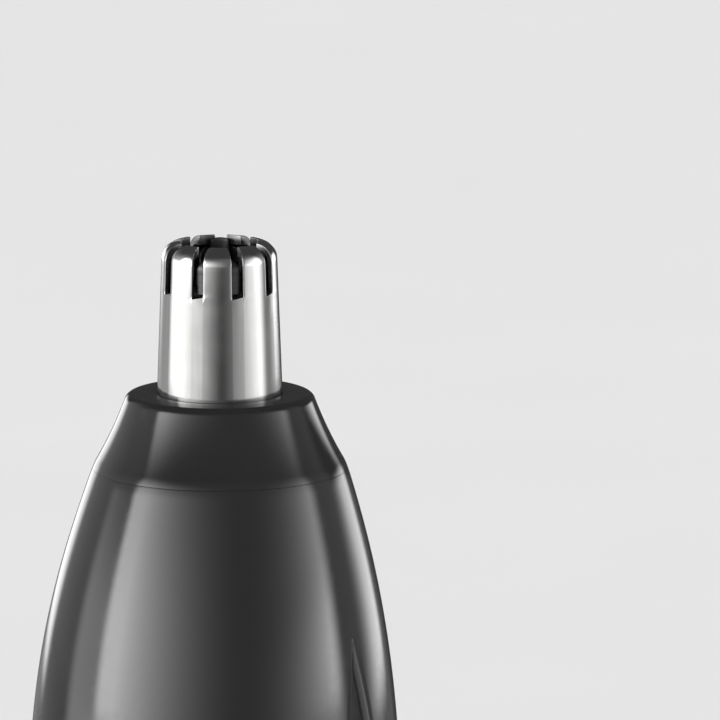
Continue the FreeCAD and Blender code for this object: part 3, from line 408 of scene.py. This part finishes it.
# (distance inside the leaf's outline, depth) from the recess's brim down its wall to its floor
RECESS = [(-BRIM + BRIM * math.sin(turn), BRIM - BRIM * math.cos(turn)) for turn in BRIM_TURNS]
RECESS += [(0.005, 0.3), (0.01, LEAF_DEPTH - ROOT), (0.02, LEAF_DEPTH - ROOT / 3), (ROOT, LEAF_DEPTH)]


def skin_at(z):
    """The skin's radius and its axis's shift towards +Y at a height."""
    height = (z - SKIN_MIDDLE) / SKIN_REACH
    ease = max(z - SHOULDER + SHOULDER_RUN, 0) / SHOULDER_RUN
    radius = float(np.polyval(SKIN_R, height)) - SHOULDER_EASE * ease**2
    return radius, float(np.polyval(SKIN_BACK, height))


def on_skin(x, z, inset):
    """The point at x on the front of the skin, inset towards its axis."""
    radius, back = skin_at(z)
    return x, back - math.sqrt((radius - inset) ** 2 - x * x), z


def leaf_half(z, margin=0.0):
    """Half the leaf's width at a height, below 0 beyond its points."""
    reach = (LEAF_ARC - margin) ** 2 - (z - LEAF_MID) ** 2
    return math.sqrt(max(reach, 0)) - (LEAF_ARC - LEAF_HALF_WIDTH)


def leaf_columns(z):
    """(x, depth) across half the recess, from its middle to just outside its brim."""
    half = max(leaf_half(z), -BRIM)
    inside, depths = zip(*RECESS)
    columns = []
    for e in reversed(inside):
        columns.append((max(half - e, 0), float(np.interp(min(e, half), inside, depths))))
    floor_edge, depth = columns[0]
    middle = min(SLOT_HALF, NARROW_SHARE * floor_edge) if floor_edge < SLOT_HALF + 0.1 else SLOT_HALF
    between = (middle + floor_edge) / 2
    return [(0, depth), (middle / 2, depth), (middle, depth), (between, depth)] + columns


def skin_ring(z, inset=0.0, flat=False):
    """Points round the skin at a height. flat leaves out the recess, as on the inside."""
    radius, back = skin_at(z)
    radius -= inset
    half = leaf_columns(z)
    right = [on_skin(x, z, inset if flat else depth) for x, depth in half]
    left = [(-x, y, z) for x, y, z in reversed(right[1:])]
    first = math.asin(half[-1][0] / radius)
    around = []
    for k in range(1, SKIN_COLUMNS):
        angle = first + (2 * math.pi - 2 * first) * k / SKIN_COLUMNS
        around.append((radius * math.sin(angle), back - radius * math.cos(angle), z))
    return right + around + left


def plain_ring(radius, z, like):
    """Points round a circle about Z, with one for each point of another ring, at the same angles."""
    points = []
    for x, y, _ in like:
        angle = math.atan2(x, -y)
        points.append((radius * math.sin(angle), -radius * math.cos(angle), z))
    return points


def in_slot(z, top=NEAR):
    """Whether a row is at the slot's height. A top of -NEAR leaves out the slot's highest row."""
    return SLOT_LOW - NEAR < z < SLOT_HIGH + top


def housing():
    """The one-piece shell: skin with the leaf recess, shoulder, neck with its groove, and the inside."""
    tips = []
    for tip, inward in ((LEAF_MID - LEAF_HALF_LENGTH, 1), (LEAF_MID + LEAF_HALF_LENGTH, -1)):
        for away in (-0.42, -0.3, -0.2, -0.1, 0, 0.15, 0.3, 0.5, 0.7, 0.95, 1.2, 1.5, 1.8, 2.1):
            tips.append(tip + inward * away)
    close = [SHOULDER - d for d in (SHOULDER_RUN, 0.55, 0.4, 0.25, 0.12, EDGE_EASE)]
    heights = rows_between(SKIN_LOW + 0.1, SHOULDER - EDGE_EASE, ROW_STEP, SLOT_LOW, SLOT_HIGH, *tips,
                           *close)
    radius_low, radius_high = skin_at(SKIN_LOW)[0], skin_at(SHOULDER)[0]
    like = skin_ring(SKIN_LOW)
    width = len(like)
    rings = [plain_ring(radius_low - 0.1, SKIN_LOW, like),
             plain_ring(radius_low - EDGE_EASE, SKIN_LOW + EDGE_EASE, like)]
    outer_rows = {}
    for z in heights:
        outer_rows[z] = len(rings)
        rings.append(skin_ring(z))
    for r, z in ((radius_high, SHOULDER - 0.006), (radius_high - 0.006, SHOULDER), *NECK):
        rings.append(plain_ring(r, z, like))
    inner_rows = {}
    for z in reversed(rows_between(SOCKET_TOP, CAVITY_TOP, ROW_STEP, SLOT_LOW, SLOT_HIGH, *tips)):
        inner_rows[z] = len(rings)
        rings.append(skin_ring(z, WALL, flat=True))
    rings += [plain_ring(r, z, like) for r, z in SOCKET]
    points = [point for ring in rings for point in ring]
    slot_columns = {0, 1, width - 2, width - 1}
    open_rows = {row for z, row in outer_rows.items() if in_slot(z, -NEAR)}
    open_rows |= {row - 1 for z, row in inner_rows.items() if in_slot(z, -NEAR)}
    faces = []
    for row in range(len(rings)):
        following = (row + 1) % len(rings)
        faces += band(row * width, following * width, width, slot_columns if row in open_rows else ())
    pairs = []                  # outer and inner row at each height of the slot
    for z in sorted(z for z in outer_rows if in_slot(z)):
        nearest = min(inner_rows, key=lambda other: abs(other - z))
        pairs.append((outer_rows[z] * width, inner_rows[nearest] * width))
    for (outer, inner), (outer_next, inner_next) in zip(pairs, pairs[1:]):
        for column in (2, width - 2):
            faces.append([outer + column, outer_next + column, inner_next + column, inner + column])
    for outer, inner in (pairs[0], pairs[-1]):
        for a, b in ((0, 1), (1, 2), (width - 2, width - 1), (width - 1, 0)):
            faces.append([outer + a, outer + b, inner + b, inner + a])
    add_guide_ribs(points, faces)
    return add_piece("housing_shell", points, faces, "housing", "dark_gloss_plastic", ["main_housing"],
                     sharp=50)


def add_guide_ribs(points, faces):
    """Four upright ribs inside, at 45 degrees, that guide the motor chassis."""
    low, high, step = 25.0, 95.0, 5.0
    nose, flank, nose_half, half = 10.9, 11.05, 0.5, 0.6
    for quarter in range(4):
        turn = math.radians(45 + 90 * quarter)
        out, side = Vector((math.cos(turn), math.sin(turn))), Vector((-math.sin(turn), math.cos(turn)))
        start, rows = len(points), rows_between(low, high, step)
        for z in rows:
            radius, back = skin_at(z)
            far = radius - WALL * 0.6 + back * math.sin(turn)
            section = ((nose, -nose_half), (nose, nose_half), (flank, half), (far, half), (far, -half),
                       (flank, -half))
            for reach, across in section:
                spot = out * reach + side * across
                points.append((spot.x, spot.y, z))
        width, last = len(section), start + (len(rows) - 1) * len(section)
        for here in range(start, last, width):
            faces += band(here, here + width, width)
        faces += [disc(start, width), disc(last, width)]


def leaf_panel():
    """Soft panel in the recess: a shallow leaf with rounded edges, open where the stem slides."""
    margin, top, bottom, soft = 0.5, 0.36, LEAF_DEPTH - 0.01, 0.08
    close, point_run = (0.06, 0.15, 0.3), 0.3
    reach = math.sqrt((LEAF_ARC - margin) ** 2 - (LEAF_ARC - LEAF_HALF_WIDTH) ** 2)
    low, high = LEAF_MID - reach, LEAF_MID + reach
    heights = rows_between(low, high, 0.4, SLOT_LOW, SLOT_HIGH, *[low + d for d in close],
                           *[high - d for d in close])
    points, rows = [], []
    for z in heights:
        half = max(leaf_half(z, margin), 0)
        end = min(min(z - low, high - z) / point_run, 1)
        inset = top + soft * (1 - math.sqrt(max(1 - (1 - end) ** 2, 0)))
        edge = max(half - soft, 0)
        middle = min(SLOT_HALF, NARROW_SHARE * edge)
        row = [(0, inset), (middle, inset), ((middle + edge) / 2, inset)]
        for angle in (0, 30, 60, 90):
            turn = math.radians(angle)
            row.append((min(edge + soft * math.sin(turn), half), inset + soft * (1 - math.cos(turn))))
        row += [(half, bottom), ((middle + edge) / 2, bottom), (middle, bottom), (0, bottom)]
        rows.append(len(points))
        whole = row + [(-x, depth) for x, depth in reversed(row[1:-1])]
        points += [on_skin(x, z, depth) for x, depth in whole]
    width, last = len(points) // len(rows), len(row) - 1
    gaps = {0, last - 1, last, width - 1}
    faces = []
    for z, here, above in zip(heights, rows, rows[1:]):
        open_here = in_slot(z, -NEAR)
        faces += band(here, above, width, gaps if open_here else ())
        if open_here:
            faces.append([here + 1, above + 1, above + last - 1, here + last - 1])
            faces.append([here + width - 1, above + width - 1, above + last + 1, here + last + 1])
    for z, here in zip(heights, rows):
        if abs(z - SLOT_LOW) < NEAR or abs(z - SLOT_HIGH) < NEAR:
            faces.append([here, here + 1, here + last - 1, here + last])
            faces.append([here, here + last, here + last + 1, here + width - 1])
    return add_piece("leaf_panel", points, faces, "housing", "soft_panel", ["switch_panel"])


TRIM_FOOT = 0.93                        # depth of the trim's underside
# (distance inside the leaf's outline, depth) round the trim's section, on the +X and -X sides of the leaf
TRIM = {
    1: ((0.02, 0.05), (0.024, 0.02), (0.04, 0.012), (0.07, 0.02), (0.11, 0.036), (0.16, 0.06),
        (0.21, 0.087), (0.26, 0.12), (0.31, 0.158), (0.36, 0.198), (0.41, 0.238), (0.46, 0.28),
        (0.475, 0.32), (0.48, TRIM_FOOT), (0.02, TRIM_FOOT)),
    -1: ((0.02, 0.05), (0.024, 0.03), (0.035, 0.025), (0.05, 0.04), (0.07, 0.1), (0.09, 0.18),
         (0.11, 0.26), (0.14, 0.31), (0.19, 0.33), (0.25, 0.335), (0.32, 0.335), (0.4, 0.335),
         (0.475, 0.34), (0.48, TRIM_FOOT), (0.02, TRIM_FOOT)),
}


def leaf_trim():
    """Glossy ring between the recess's wall and the panel, sloping down from the skin to the panel."""
    tips = [LEAF_HALF_LENGTH - d for d in (0.1, 0.2, 0.35, 0.55, 0.8, 1.1, 1.5, 1.9, 2.3)]
    heights = rows_between(LEAF_MID - LEAF_HALF_LENGTH + 0.1, LEAF_MID + LEAF_HALF_LENGTH - 0.1, ROW_STEP,
                           *[LEAF_MID + side * tip for tip in tips for side in (-1, 1)])
    points, faces, size = [], [], len(TRIM[1])
    for z in heights:
        half = leaf_half(z)
        for side in (1, -1):
            inside, depths = zip(*TRIM[side][:-1])
            for e, depth in TRIM[side]:
                x = max(half - e, 0)
                level = depth if x > 0 or depth == TRIM_FOOT else float(np.interp(half, inside, depths))
                points.append(on_skin(side * x, z, level))
    row_size = 2 * size
    last = (len(heights) - 1) * row_size
    for start in range(0, last, size):
        for corners in band(start, start + row_size, size):
            if any(abs(points[corner][0]) > NEAR for corner in corners):
                faces.append(corners)
    faces += [disc(start, size) for start in (0, last, size, last + size)]
    # the trim's plastic is lighter than the body's as painted light on the sloping wall
    return add_piece("leaf_trim", points, faces, "housing", "inner_plastic", material=LIT_TRIM_PLASTIC)


# ---------------------------------------------------------------- collar and base cap
TURNED_SEGMENTS = 192                   # round the collar and the cap


def collar():
    """Hollow cone that carries the guard, flared to the shoulder and rounded at its rim."""
    foot, foot_r, under_r = SHOULDER + 0.005, skin_at(SHOULDER)[0], 6.7
    brow = arc((6.55, 114.7), 0.7, 19.0, 90, 14)
    flare = bulge((foot_r - 0.27, foot + 0.6), brow[0], 30.0, -1, 30)
    toe = bulge((foot_r, foot + 0.006), flare[0], 4.5, 1, 8)
    outline = [(under_r, foot + 0.12), (6.82, foot), (foot_r - 0.006, foot)] + toe[:-1] + flare + brow[1:]
    outline += [(5.6, 115.4)] + arc((4.82, 115.35), 0.05, 90, 180, 4) + [(4.77, 114.2), (under_r, 114.2)]
    points, faces = lathe(outline, TURNED_SEGMENTS)
    return add_piece("collar_shell", points, faces, "head", "dark_gloss_plastic", ["head_collar"])


GRIPS = [9.75 + 1.6 * index for index in range(3)]       # heights of the cap's grip grooves
GRIP_HALF = 0.52                        # the cap's wall has no points of its own this near to a groove
GRIP_SECTION = (                        # (height from the groove's middle, depth)
    (-0.5, 0), (-0.4, 0), (-0.34, 0.03), (-0.08, 0.27), (0, 0.3), (0.08, 0.27), (0.34, 0.03), (0.4, 0),
    (0.5, 0))


def base_cap():
    """Turned cap with three grip grooves, a grooved spigot, and a hollow for the cell's end."""
    side = bulge((11.6, 7.0), (12.1, 15.84), 90.0, -1, 44)
    side_r, side_z = zip(*side)
    wall = [(r, z) for r, z in side if all(abs(z - grip) >= GRIP_HALF for grip in GRIPS)]
    for grip in GRIPS:
        for up, depth in GRIP_SECTION:
            wall.append((float(np.interp(grip + up, side_z, side_r)) - depth, grip + up))
    outline = [(0, 0.25), (8.6, 0.25), (8.9, 0.18), (9.15, 0.02), (9.3, 0)]
    outline += arc((10.8, 0.8), 0.8, -90, 0, 10) + [(11.6, 3), (11.6, 5)]
    outline += sorted(wall, key=lambda point: point[1])
    outline += [(12.07, 15.9), (12.0, 15.94), (10.83, 15.94), (10.75, 16.02), (10.75, 17.65),
                (10.7, 17.7), (10.0, 17.7), (9.98, 17.72), (9.98, 18.68), (10.0, 18.7), (10.7, 18.7),
                (10.75, 18.75), (10.75, 21.2)]
    outline += arc((10.35, 21.2), 0.4, 0, 90, 6)
    outline += [(9.5, 21.6), (9.4, 21.5), (9.4, 3.0), (9.0, 2.5), (0, 2.5)]
    points, faces = lathe(outline, TURNED_SEGMENTS)
    return add_piece("cap_shell", points, faces, "base_cap", "dark_gloss_plastic", ["base_cap"])


# ---------------------------------------------------------------- slotted guard and cutter
SLOT_COUNT, SLOT_PHASE = 9, 5.0         # slots in the guard, and degrees from the front to the first one
SLOT_SIDE, SLOT_FLOOR = 0.45, 123.3     # half a slot's width, and the height of its floor
SLOT_SLANT = math.tan(math.radians(11))         # rise of the floor across the slot
FINGER_COLUMNS = 12
EDGE = ((0.0, 0.035), (0.01, 0.01), (0.035, 0.0))      # a slot's rounded edge: (across the finger, down)


def guard_ring(row, edged, slant=0.0):
    """Points round the guard for a row (r, z, normal r, normal z): each slot's edges, then a finger."""
    radius, z, normal_r, normal_z = row
    points = []
    pitch = 2 * math.pi / SLOT_COUNT
    for slot in range(SLOT_COUNT):
        centre = math.radians(SLOT_PHASE) + pitch * slot
        near = []
        for across, down in EDGE:
            near.append((math.asin((SLOT_SIDE + across) / radius), down if edged else 0.0))
        first = near[-1][0]
        columns = [(-angle, down) for angle, down in reversed(near)] + [(0, 0.0)] + near
        last_edge = len(columns) - 1
        for k in range(1, FINGER_COLUMNS):
            columns.append((first + (pitch - 2 * first) * k / FINGER_COLUMNS, 0.0))
        for k, (angle, down) in enumerate(columns):
            across = radius * math.sin(angle)
            if k > last_edge:           # on the finger, a slanted row comes back to the next slot's start
                across = (SLOT_SIDE + EDGE[-1][0]) * (1 - 2 * (k - last_edge) / FINGER_COLUMNS)
            r, turn = radius - down * normal_r, centre + angle
            points.append((r * math.sin(turn), -r * math.cos(turn), z - down * normal_z + slant * across))
    return points


def with_normals(profile, side):
    """(r, z) rows with the profile's normal on the given side."""
    rows = []
    for k, (r, z) in enumerate(profile):
        before, after = profile[max(k - 1, 0)], profile[min(k + 1, len(profile) - 1)]
        step = Vector((after[0] - before[0], after[1] - before[1])).normalized()
        rows.append((r, z, step.y * side, -step.x * side))
    return rows


def guard():
    """Tapered tube with its top turned inwards, cut by radial slots into fingers."""
    wall, mouth_wall, mouth = 0.35, 0.75, 3.0
    seat, seat_r, tip, tip_r, top = 115.4, 4.75, 125.7, 4.37, 127.0

    def taper(*heights):
        return [(seat_r + (tip_r - seat_r) * (z - seat) / (tip - seat), z) for z in heights]

    low = [(seat_r, 114.2), (seat_r, seat)] + taper(117, 118.6, 120.2, 121.6, 122.6, 122.95)
    high = taper(SLOT_FLOOR + 0.02, SLOT_FLOOR + 0.2, 123.9, 124.4, 124.9, 125.3)
    tube = low + taper(SLOT_FLOOR) + high
    dome = arc((3.07, tip), 1.3, 0, 90, 14)
    flat = [(mouth + 0.035, top - 0.002), (mouth + 0.01, top - 0.012), (mouth, top - 0.04)]
    inner_dome = arc((3.52, top - mouth_wall - 0.5), 0.5, 0, 90, 14)
    under = [(mouth + 0.035, top - mouth_wall), (mouth + 0.01, top - mouth_wall + 0.01),
             (mouth, top - mouth_wall + 0.035)]
    flange = [(5.9, 113.85), (5.9, 114.2)]
    flange_bore = [(4.4, 113.85), (4.4, 114.1)]
    outer = with_normals(flange + tube + dome + flat, 1)
    inner = with_normals(flange_bore + [(r - wall, z) for r, z in tube] + inner_dome + under, -1)
    floor_row, count = len(flange) + len(low), len(outer)
    rings = []
    for layer in (outer, inner):
        for k, row in enumerate(layer):
            slant = SLOT_SLANT if k in (floor_row, floor_row + 1) else 0.0
            rings.append(guard_ring(row, k > floor_row, slant))
    points = [point for ring in rings for point in ring]
    width = len(rings[0])
    pitch = width // SLOT_COUNT
    gaps = {k for k in range(width) if k % pitch in (2, 3)}
    faces = []
    inside = count * width
    for layer in (0, inside):
        for row in range(count - 1):
            start = layer + row * width
            faces += band(start, start + width, width, gaps if row >= floor_row else ())
        if layer == 0:
            outside_faces = len(faces)
    for k in range(width):
        beside = (k + 1) % width
        faces.append([k, beside, inside + beside, inside + k])
        start = (floor_row if k in gaps else count - 1) * width
        faces.append([start + k, start + beside, inside + start + beside, inside + start + k])
        if k % pitch in (2, 4):         # the walls of the slot
            for row in range(floor_row, count - 1):
                here = row * width + k
                faces.append([here, here + width, inside + here + width, inside + here])
    piece = add_piece("guard_fingers", points, faces, "head", "polished_steel", ["slotted_guard"],
                      sharp=50)
    assert len(piece.data.polygons) == len(faces)
    # the inside, the ends and the slot walls take the darker steel, as painted shade
    piece.data.materials.append(SHADED_STEEL)
    for polygon in piece.data.polygons:
        polygon.material_index = 0 if polygon.index < outside_faces else 1
    return piece


def add_block(points, faces, rows, columns):
    """A curved block about Z. A row is (outer and inner radius, middle and half angle, z, crown)."""
    start, ring = len(points), 2 * (columns + 1)
    for r_out, r_in, centre, half, z, crown in rows:
        for radius in (r_out, r_in):
            for k in range(columns + 1):
                across = 2 * k / columns - 1
                angle = centre + half * across
                drop = crown * across * across
                points.append((radius * math.sin(angle), -radius * math.cos(angle), z - drop))
    last = start + (len(rows) - 1) * ring
    for base in range(start, last, ring):
        for k in range(columns):
            faces.append([base + k, base + k + 1, base + k + 1 + ring, base + k + ring])
            inner = base + columns + 1 + k
            faces.append([inner, inner + 1, inner + 1 + ring, inner + ring])
        for k in (base, base + columns):
            faces.append([k, k + ring, k + columns + 1 + ring, k + columns + 1])
    for base in (start, last):
        for k in range(columns):
            faces.append([base + k, base + k + 1, base + columns + 2 + k, base + columns + 1 + k])


def rotary_cutter():
    """Cup on a hub, with four upright blades whose upper corners are rounded, and four inner teeth."""
    hub_top, floor_low, floor_high, r_out, r_in = 124.1, 122.6, 123.0, 3.9, 3.55
    points, faces = lathe([
        (1.0, 121.8), (2.0, 121.8), (2.1, 121.9), (2.1, floor_low - 0.05), (2.15, floor_low),
        (3.85, floor_low), (r_out, floor_low + 0.05), (r_out, floor_high - 0.05), (3.85, floor_high),
        (1.65, floor_high), (1.6, floor_high + 0.05), (1.6, hub_top - 0.1), (1.5, hub_top),
        (1.0, hub_top)], 96)
    blade_angles = [math.radians(-54 + 90 * index) for index in range(4)]
    blade_low, blade_high, corner, chamfer, chamfer_slope = 123.5, 126.1, 0.85, 0.45, 0.8
    half, post = math.radians(25), math.radians(11)
    heights = [(floor_high - 0.05, post), (floor_high + 0.2, post * 0.97), (blade_low, post),
               (blade_low + 0.02, half - 0.02), (blade_low + 0.1, half), (124.4, half),
               (blade_high - corner, half)]
    for angle in (18, 36, 54, 72, 90):
        turn = math.radians(angle)
        heights.append((blade_high - corner + corner * math.sin(turn),
                        half - corner * (1 - math.cos(turn)) / r_out))
    for centre in blade_angles:
        rows = []
        for z, half_here in heights:
            chamfered = r_out - max(z - (blade_high - chamfer), 0) * chamfer_slope
            rows.append((chamfered, r_in, centre, half_here, z, 0.0))
        add_block(points, faces, rows, 14)
    tooth_out, tooth_in, tooth_half, tooth_top, tooth_crown = 2.8, 2.4, math.radians(15), 126.85, 0.12
    for centre in blade_angles:
        rows = [(tooth_out, tooth_in, centre, tooth_half, z, tooth_crown if z == tooth_top else 0.0)
                for z in (floor_high - 0.05, 124.0, 125.2, tooth_top - 0.3, tooth_top)]
        add_block(points, faces, rows, 8)
    piece = add_piece("cutter_cup", points, faces, "cutter", "blade_steel", ["rotary_cutter"],
                      weighted=False)
    soften(piece, 0.04, 2, 50)
    return piece


# ---------------------------------------------------------------- switch
def switch_button():
    """Crowned lens-shaped thumb button with cross grooves, and the stem through the wall."""
    middle, inner_y, outer_y, half_length, blunt, half_width = 74.45, -13.58, -14.85, 6.8, 6.1, 2.0
    soft, end_run, end_drop, crown_rise, lengthwise_rise = 0.28, 0.35, 0.3, 0.14, 0.05
    grooves, groove_pitch, groove_half, groove_depth = 7, 1.3, 0.34, 0.2
    arc_r = (half_length**2 + half_width**2) / (2 * half_width)
    close = [side * (blunt - d) for side in (-1, 1) for d in (0.02, 0.06, 0.15)]
    points, rows = [], []
    for t in rows_between(-blunt, blunt, 0.1, *close):
        end = min((blunt - abs(t)) / end_run, 1)
        round_end = math.sqrt(max(1 - (1 - end) ** 2, 0))
        half = math.sqrt(arc_r**2 - t * t) - (arc_r - half_width) - end_drop * (1 - round_end)
        groove = 0.0
        for index in range(grooves):
            away = abs(t - (index - grooves // 2) * groove_pitch)
            if away < groove_half:
                groove = groove_depth * math.cos(away / groove_half * math.pi / 2) ** 1.2
        crown = outer_y + lengthwise_rise * (t / blunt) ** 2 + end_drop * (1 - round_end)
        row = []
        for share in (0, 0.25, 0.5, 0.72, 0.88):
            x = (half - soft) * share
            row.append((x, crown + crown_rise * (x / half_width) ** 2 + groove * (1 - share**6)))
        edge_y = crown + crown_rise * ((half - soft) / half_width) ** 2 + groove * 0.25
        for angle in (0, 25, 50, 75, 90):
            turn = math.radians(angle)
            row.append((half - soft + soft * math.sin(turn), edge_y + soft * (1 - math.cos(turn))))
        row += [(half, inner_y - 0.06), (half - 0.06, inner_y), (0, inner_y)]
        rows.append(len(points))
        points += [(x, y, middle + t) for x, y in row + [(-x, y) for x, y in reversed(row[1:-1])]]
    width = len(points) // len(rows)
    faces = []
    for here, above in zip(rows, rows[1:]):
        faces += band(here, above, width)
    faces += [disc(rows[0], width), disc(rows[-1], width)]
    start = len(points)
    stem = rounded([(-1.0, -1.75), (1.0, -1.75), (1.0, 1.75), (-1.0, 1.75)], 0.2, 4)
    for y, scale in ((inner_y - 0.1, 1.0), (-11.45, 1.0), (-11.4, 0.96)):
        points += [(x * scale, y, middle + z * scale) for x, z in stem]
    size = len(stem)
    faces += band(start, start + size, size) + band(start + size, start + 2 * size, size)
    faces += [disc(start, size), disc(start + 2 * size, size)]
    return add_piece("thumb_button", points, faces, "switch", "button_plastic", ["switch_button"],
                     sharp=60)


# ---------------------------------------------------------------- floor, studio and camera
CAMERA_AZIMUTH, CAMERA_ELEVATION, CAMERA_DISTANCE = -54.0, 10.2, 0.6        # degrees, degrees, metres
LENS, SENSOR, NEAREST, FARTHEST = 397.0, 36.0, 0.02, 60.0
AIM_HEIGHT, AIM_RIGHT = 0.1179, 0.0106          # metres, from the base and from the axis
PALE = 0.8                                      # grey of the floor and the surround
FLOOR_REACH = 8.0


def stage_floor():
    """Pale floor. It rides on the base cap, which stands on it, so it stays under a cap drawn off."""
    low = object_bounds()[0][2]
    corners = [(x * FLOOR_REACH, y * FLOOR_REACH, low) for x, y in ((-1, -1), (1, -1), (1, 1), (-1, 1))]
    mesh = bpy.data.meshes.new("stage_floor")
    mesh.from_pydata(corners, [], [(0, 1, 2, 3)])
    floor = bpy.data.objects.new("stage_floor", mesh)
    bpy.context.scene.collection.objects.link(floor)
    paint = finish("floor_paint", grey(PALE), grey(PALE + 0.01), (0.85, 0.95), grain=0.002, fine=0.02)
    floor.data.materials.append(paint)
    floor.visible_glossy = False
    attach(floor, "base_cap")
    floor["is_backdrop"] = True


def camera():
    """Looks at the head from the front left, a little from above."""
    azimuth, elevation = math.radians(CAMERA_AZIMUTH), math.radians(CAMERA_ELEVATION)
    away = Vector((math.sin(azimuth) * math.cos(elevation), -math.cos(azimuth) * math.cos(elevation),
                   math.sin(elevation)))
    right = Vector((math.cos(azimuth), math.sin(azimuth), 0))
    data = bpy.data.cameras.new("camera")
    data.lens, data.sensor_width = LENS, SENSOR
    data.clip_start, data.clip_end = NEAREST, FARTHEST
    item = bpy.data.objects.new("camera", data)
    bpy.context.scene.collection.objects.link(item)
    item.location = Vector((0, 0, AIM_HEIGHT)) + right * AIM_RIGHT + away * CAMERA_DISTANCE
    item.rotation_euler = (-away).to_track_quat("-Z", "Y").to_euler()
    bpy.context.scene.camera = item


# Soft boxes round the object: (strength, sides, heights, fade). Angles are in degrees: sides are measured
# from the camera's side of the object, to the right, and heights from level. Each edge is (where the
# light is gone, where it is full), and fade is (bright side, dark side, power).
UP, DOWN, DEEP = (-5.2, -1.7), (-1.7, -5.2), (-60, -40)      # edges just below level, and far below it
RIM = ((-9.3, -6.8), (12, 1.5))                              # heights of the rim lights
SOFT_BOXES = {
    "key_left": (7.2, ((-85, -78), (30, 24)), (UP, (42, 5)), (-68, 24, 2.4)),
    "key_right": (3.3, ((4, 12), (97, 85)), (UP, (42, 5)), (85, 11, 3.2)),
    "low_key": (2.2, ((4, 12), (95, 84)), (UP, (9, 1)), (84, 11, 3.2)),
    "front": (0.1, ((-110, -95), (96, 84)), (UP, (57, 37)), None),
    "panel_left": (1.4, ((-112, -102), (-79, -84)), ((-9.5, -6.5), (18, 4)), None),
    "back_left": (0.45, ((-150, -140), (-79, -84)), (UP, (47, 8)), None),
    "back_right": (0.3, ((84, 94), (126, 112)), (UP, (47, 8)), None),
    "rim_left": (2.4, ((-170, -162), (-140, -150)), RIM, None),
    "rim_right": (3.0, ((112, 136), (153, 143)), RIM, None),
    "low_left": (1.5, ((-112, -78), (20, 2)), (DEEP, DOWN), (-74, 3, 1.25)),
    "low_right": (1.5, ((-6, 6), (102, 84)), (DEEP, DOWN), (82, 6, 1.55)),
    "low_back_left": (0.35, ((-176, -160), (-90, -108)), (DEEP, DOWN), None),
    "low_back_right": (0.2, ((88, 104), (165, 150)), (DEEP, DOWN), None),
}
STUDIO_DARK = 0.065             # what gloss shows between the soft boxes
SECOND_BOUNCE = 0.25            # how much of the soft boxes a reflection inside a reflection shows
SECOND_RAYS = (2.4, 2.6)        # the ray depth goes past this from a first reflection to a second one


def studio():
    """A pale surround for the camera, an even dome for matt light, and soft boxes for gloss."""
    world = bpy.data.worlds.new("studio")
    bpy.context.scene.world = world
    world.use_nodes = True
    world.cycles.sampling_method = "NONE"
    tree = world.node_tree
    link = tree.links.new

    def math_node(operation, first, second=None):
        """A sum or function of numbers and outputs."""
        node = tree.nodes.new("ShaderNodeMath")
        node.operation = operation
        for socket, value in zip(node.inputs, (first, second)):
            if isinstance(value, (int, float)):
                socket.default_value = value
            elif value is not None:
                link(value, socket)
        return node.outputs["Value"]

    def ramp(value, start, end, smooth=True):
        """0 at start and 1 at end, in either order."""
        node = tree.nodes.new("ShaderNodeMapRange")
        node.interpolation_type = "SMOOTHSTEP" if smooth else "LINEAR"
        link(value, node.inputs["Value"])
        low, high, out = (start, end, (0, 1)) if start < end else (end, start, (1, 0))
        values = {"From Min": low, "From Max": high, "To Min": out[0], "To Max": out[1]}
        for socket, number in values.items():
            node.inputs[socket].default_value = number
        return node.outputs["Result"]

    place = tree.nodes.new("ShaderNodeTexCoord")
    turn = tree.nodes.new("ShaderNodeVectorRotate")
    turn.rotation_type = "Z_AXIS"
    turn.inputs["Angle"].default_value = -math.radians(CAMERA_AZIMUTH)
    link(place.outputs["Generated"], turn.inputs["Vector"])
    split = tree.nodes.new("ShaderNodeSeparateXYZ")
    link(turn.outputs["Vector"], split.inputs["Vector"])
    front = math_node("MULTIPLY", split.outputs["Y"], -1.0)
    side = math_node("DEGREES", math_node("ARCTAN2", split.outputs["X"], front))
    height = math_node("DEGREES", math_node("ARCSINE", split.outputs["Z"]))
    total = None
    for level, sides, heights, fade in SOFT_BOXES.values():
        light = math_node("MULTIPLY", ramp(side, *sides[0]), ramp(side, *sides[1]))
        light = math_node("MULTIPLY", light, ramp(height, *heights[0]))
        light = math_node("MULTIPLY", light, ramp(height, *heights[1]))
        light = math_node("MULTIPLY", light, level)
        if fade:
            bright, dark, power = fade
            falloff = math_node("POWER", ramp(side, dark, bright, False), power)
            light = math_node("MULTIPLY", light, falloff)
        total = math_node("ADD", total, light) if total is not None else light
    rays = tree.nodes.new("ShaderNodeLightPath").outputs
    again = math_node("MULTIPLY", ramp(rays["Ray Depth"], *SECOND_RAYS), 1 - SECOND_BOUNCE)
    gloss = math_node("ADD", math_node("MULTIPLY", total, math_node("SUBTRACT", 1.0, again)), STUDIO_DARK)
    seen = math_node("MULTIPLY", rays["Is Camera Ray"], PALE)
    plain = math_node("ADD", seen, rays["Is Diffuse Ray"])
    first = math_node("MAXIMUM", rays["Is Camera Ray"], rays["Is Diffuse Ray"])
    others = math_node("SUBTRACT", 1.0, first)
    strength = math_node("ADD", plain, math_node("MULTIPLY", gloss, others))
    background = tree.nodes["Background"]
    background.inputs["Color"].default_value = (1, 1, 1, 1)
    link(strength, background.inputs["Strength"])


# ---------------------------------------------------------------- build
housing()
leaf_panel()
leaf_trim()
collar()
base_cap()
guard()
rotary_cutter()
switch_button()
for node_name, node in NODES.items():
    for place in node.material_slots:
        place.material = MATERIALS[SLOTS[node_name]]
stage_floor()
camera()
studio()
bpy.context.scene.view_settings.view_transform = "Standard"
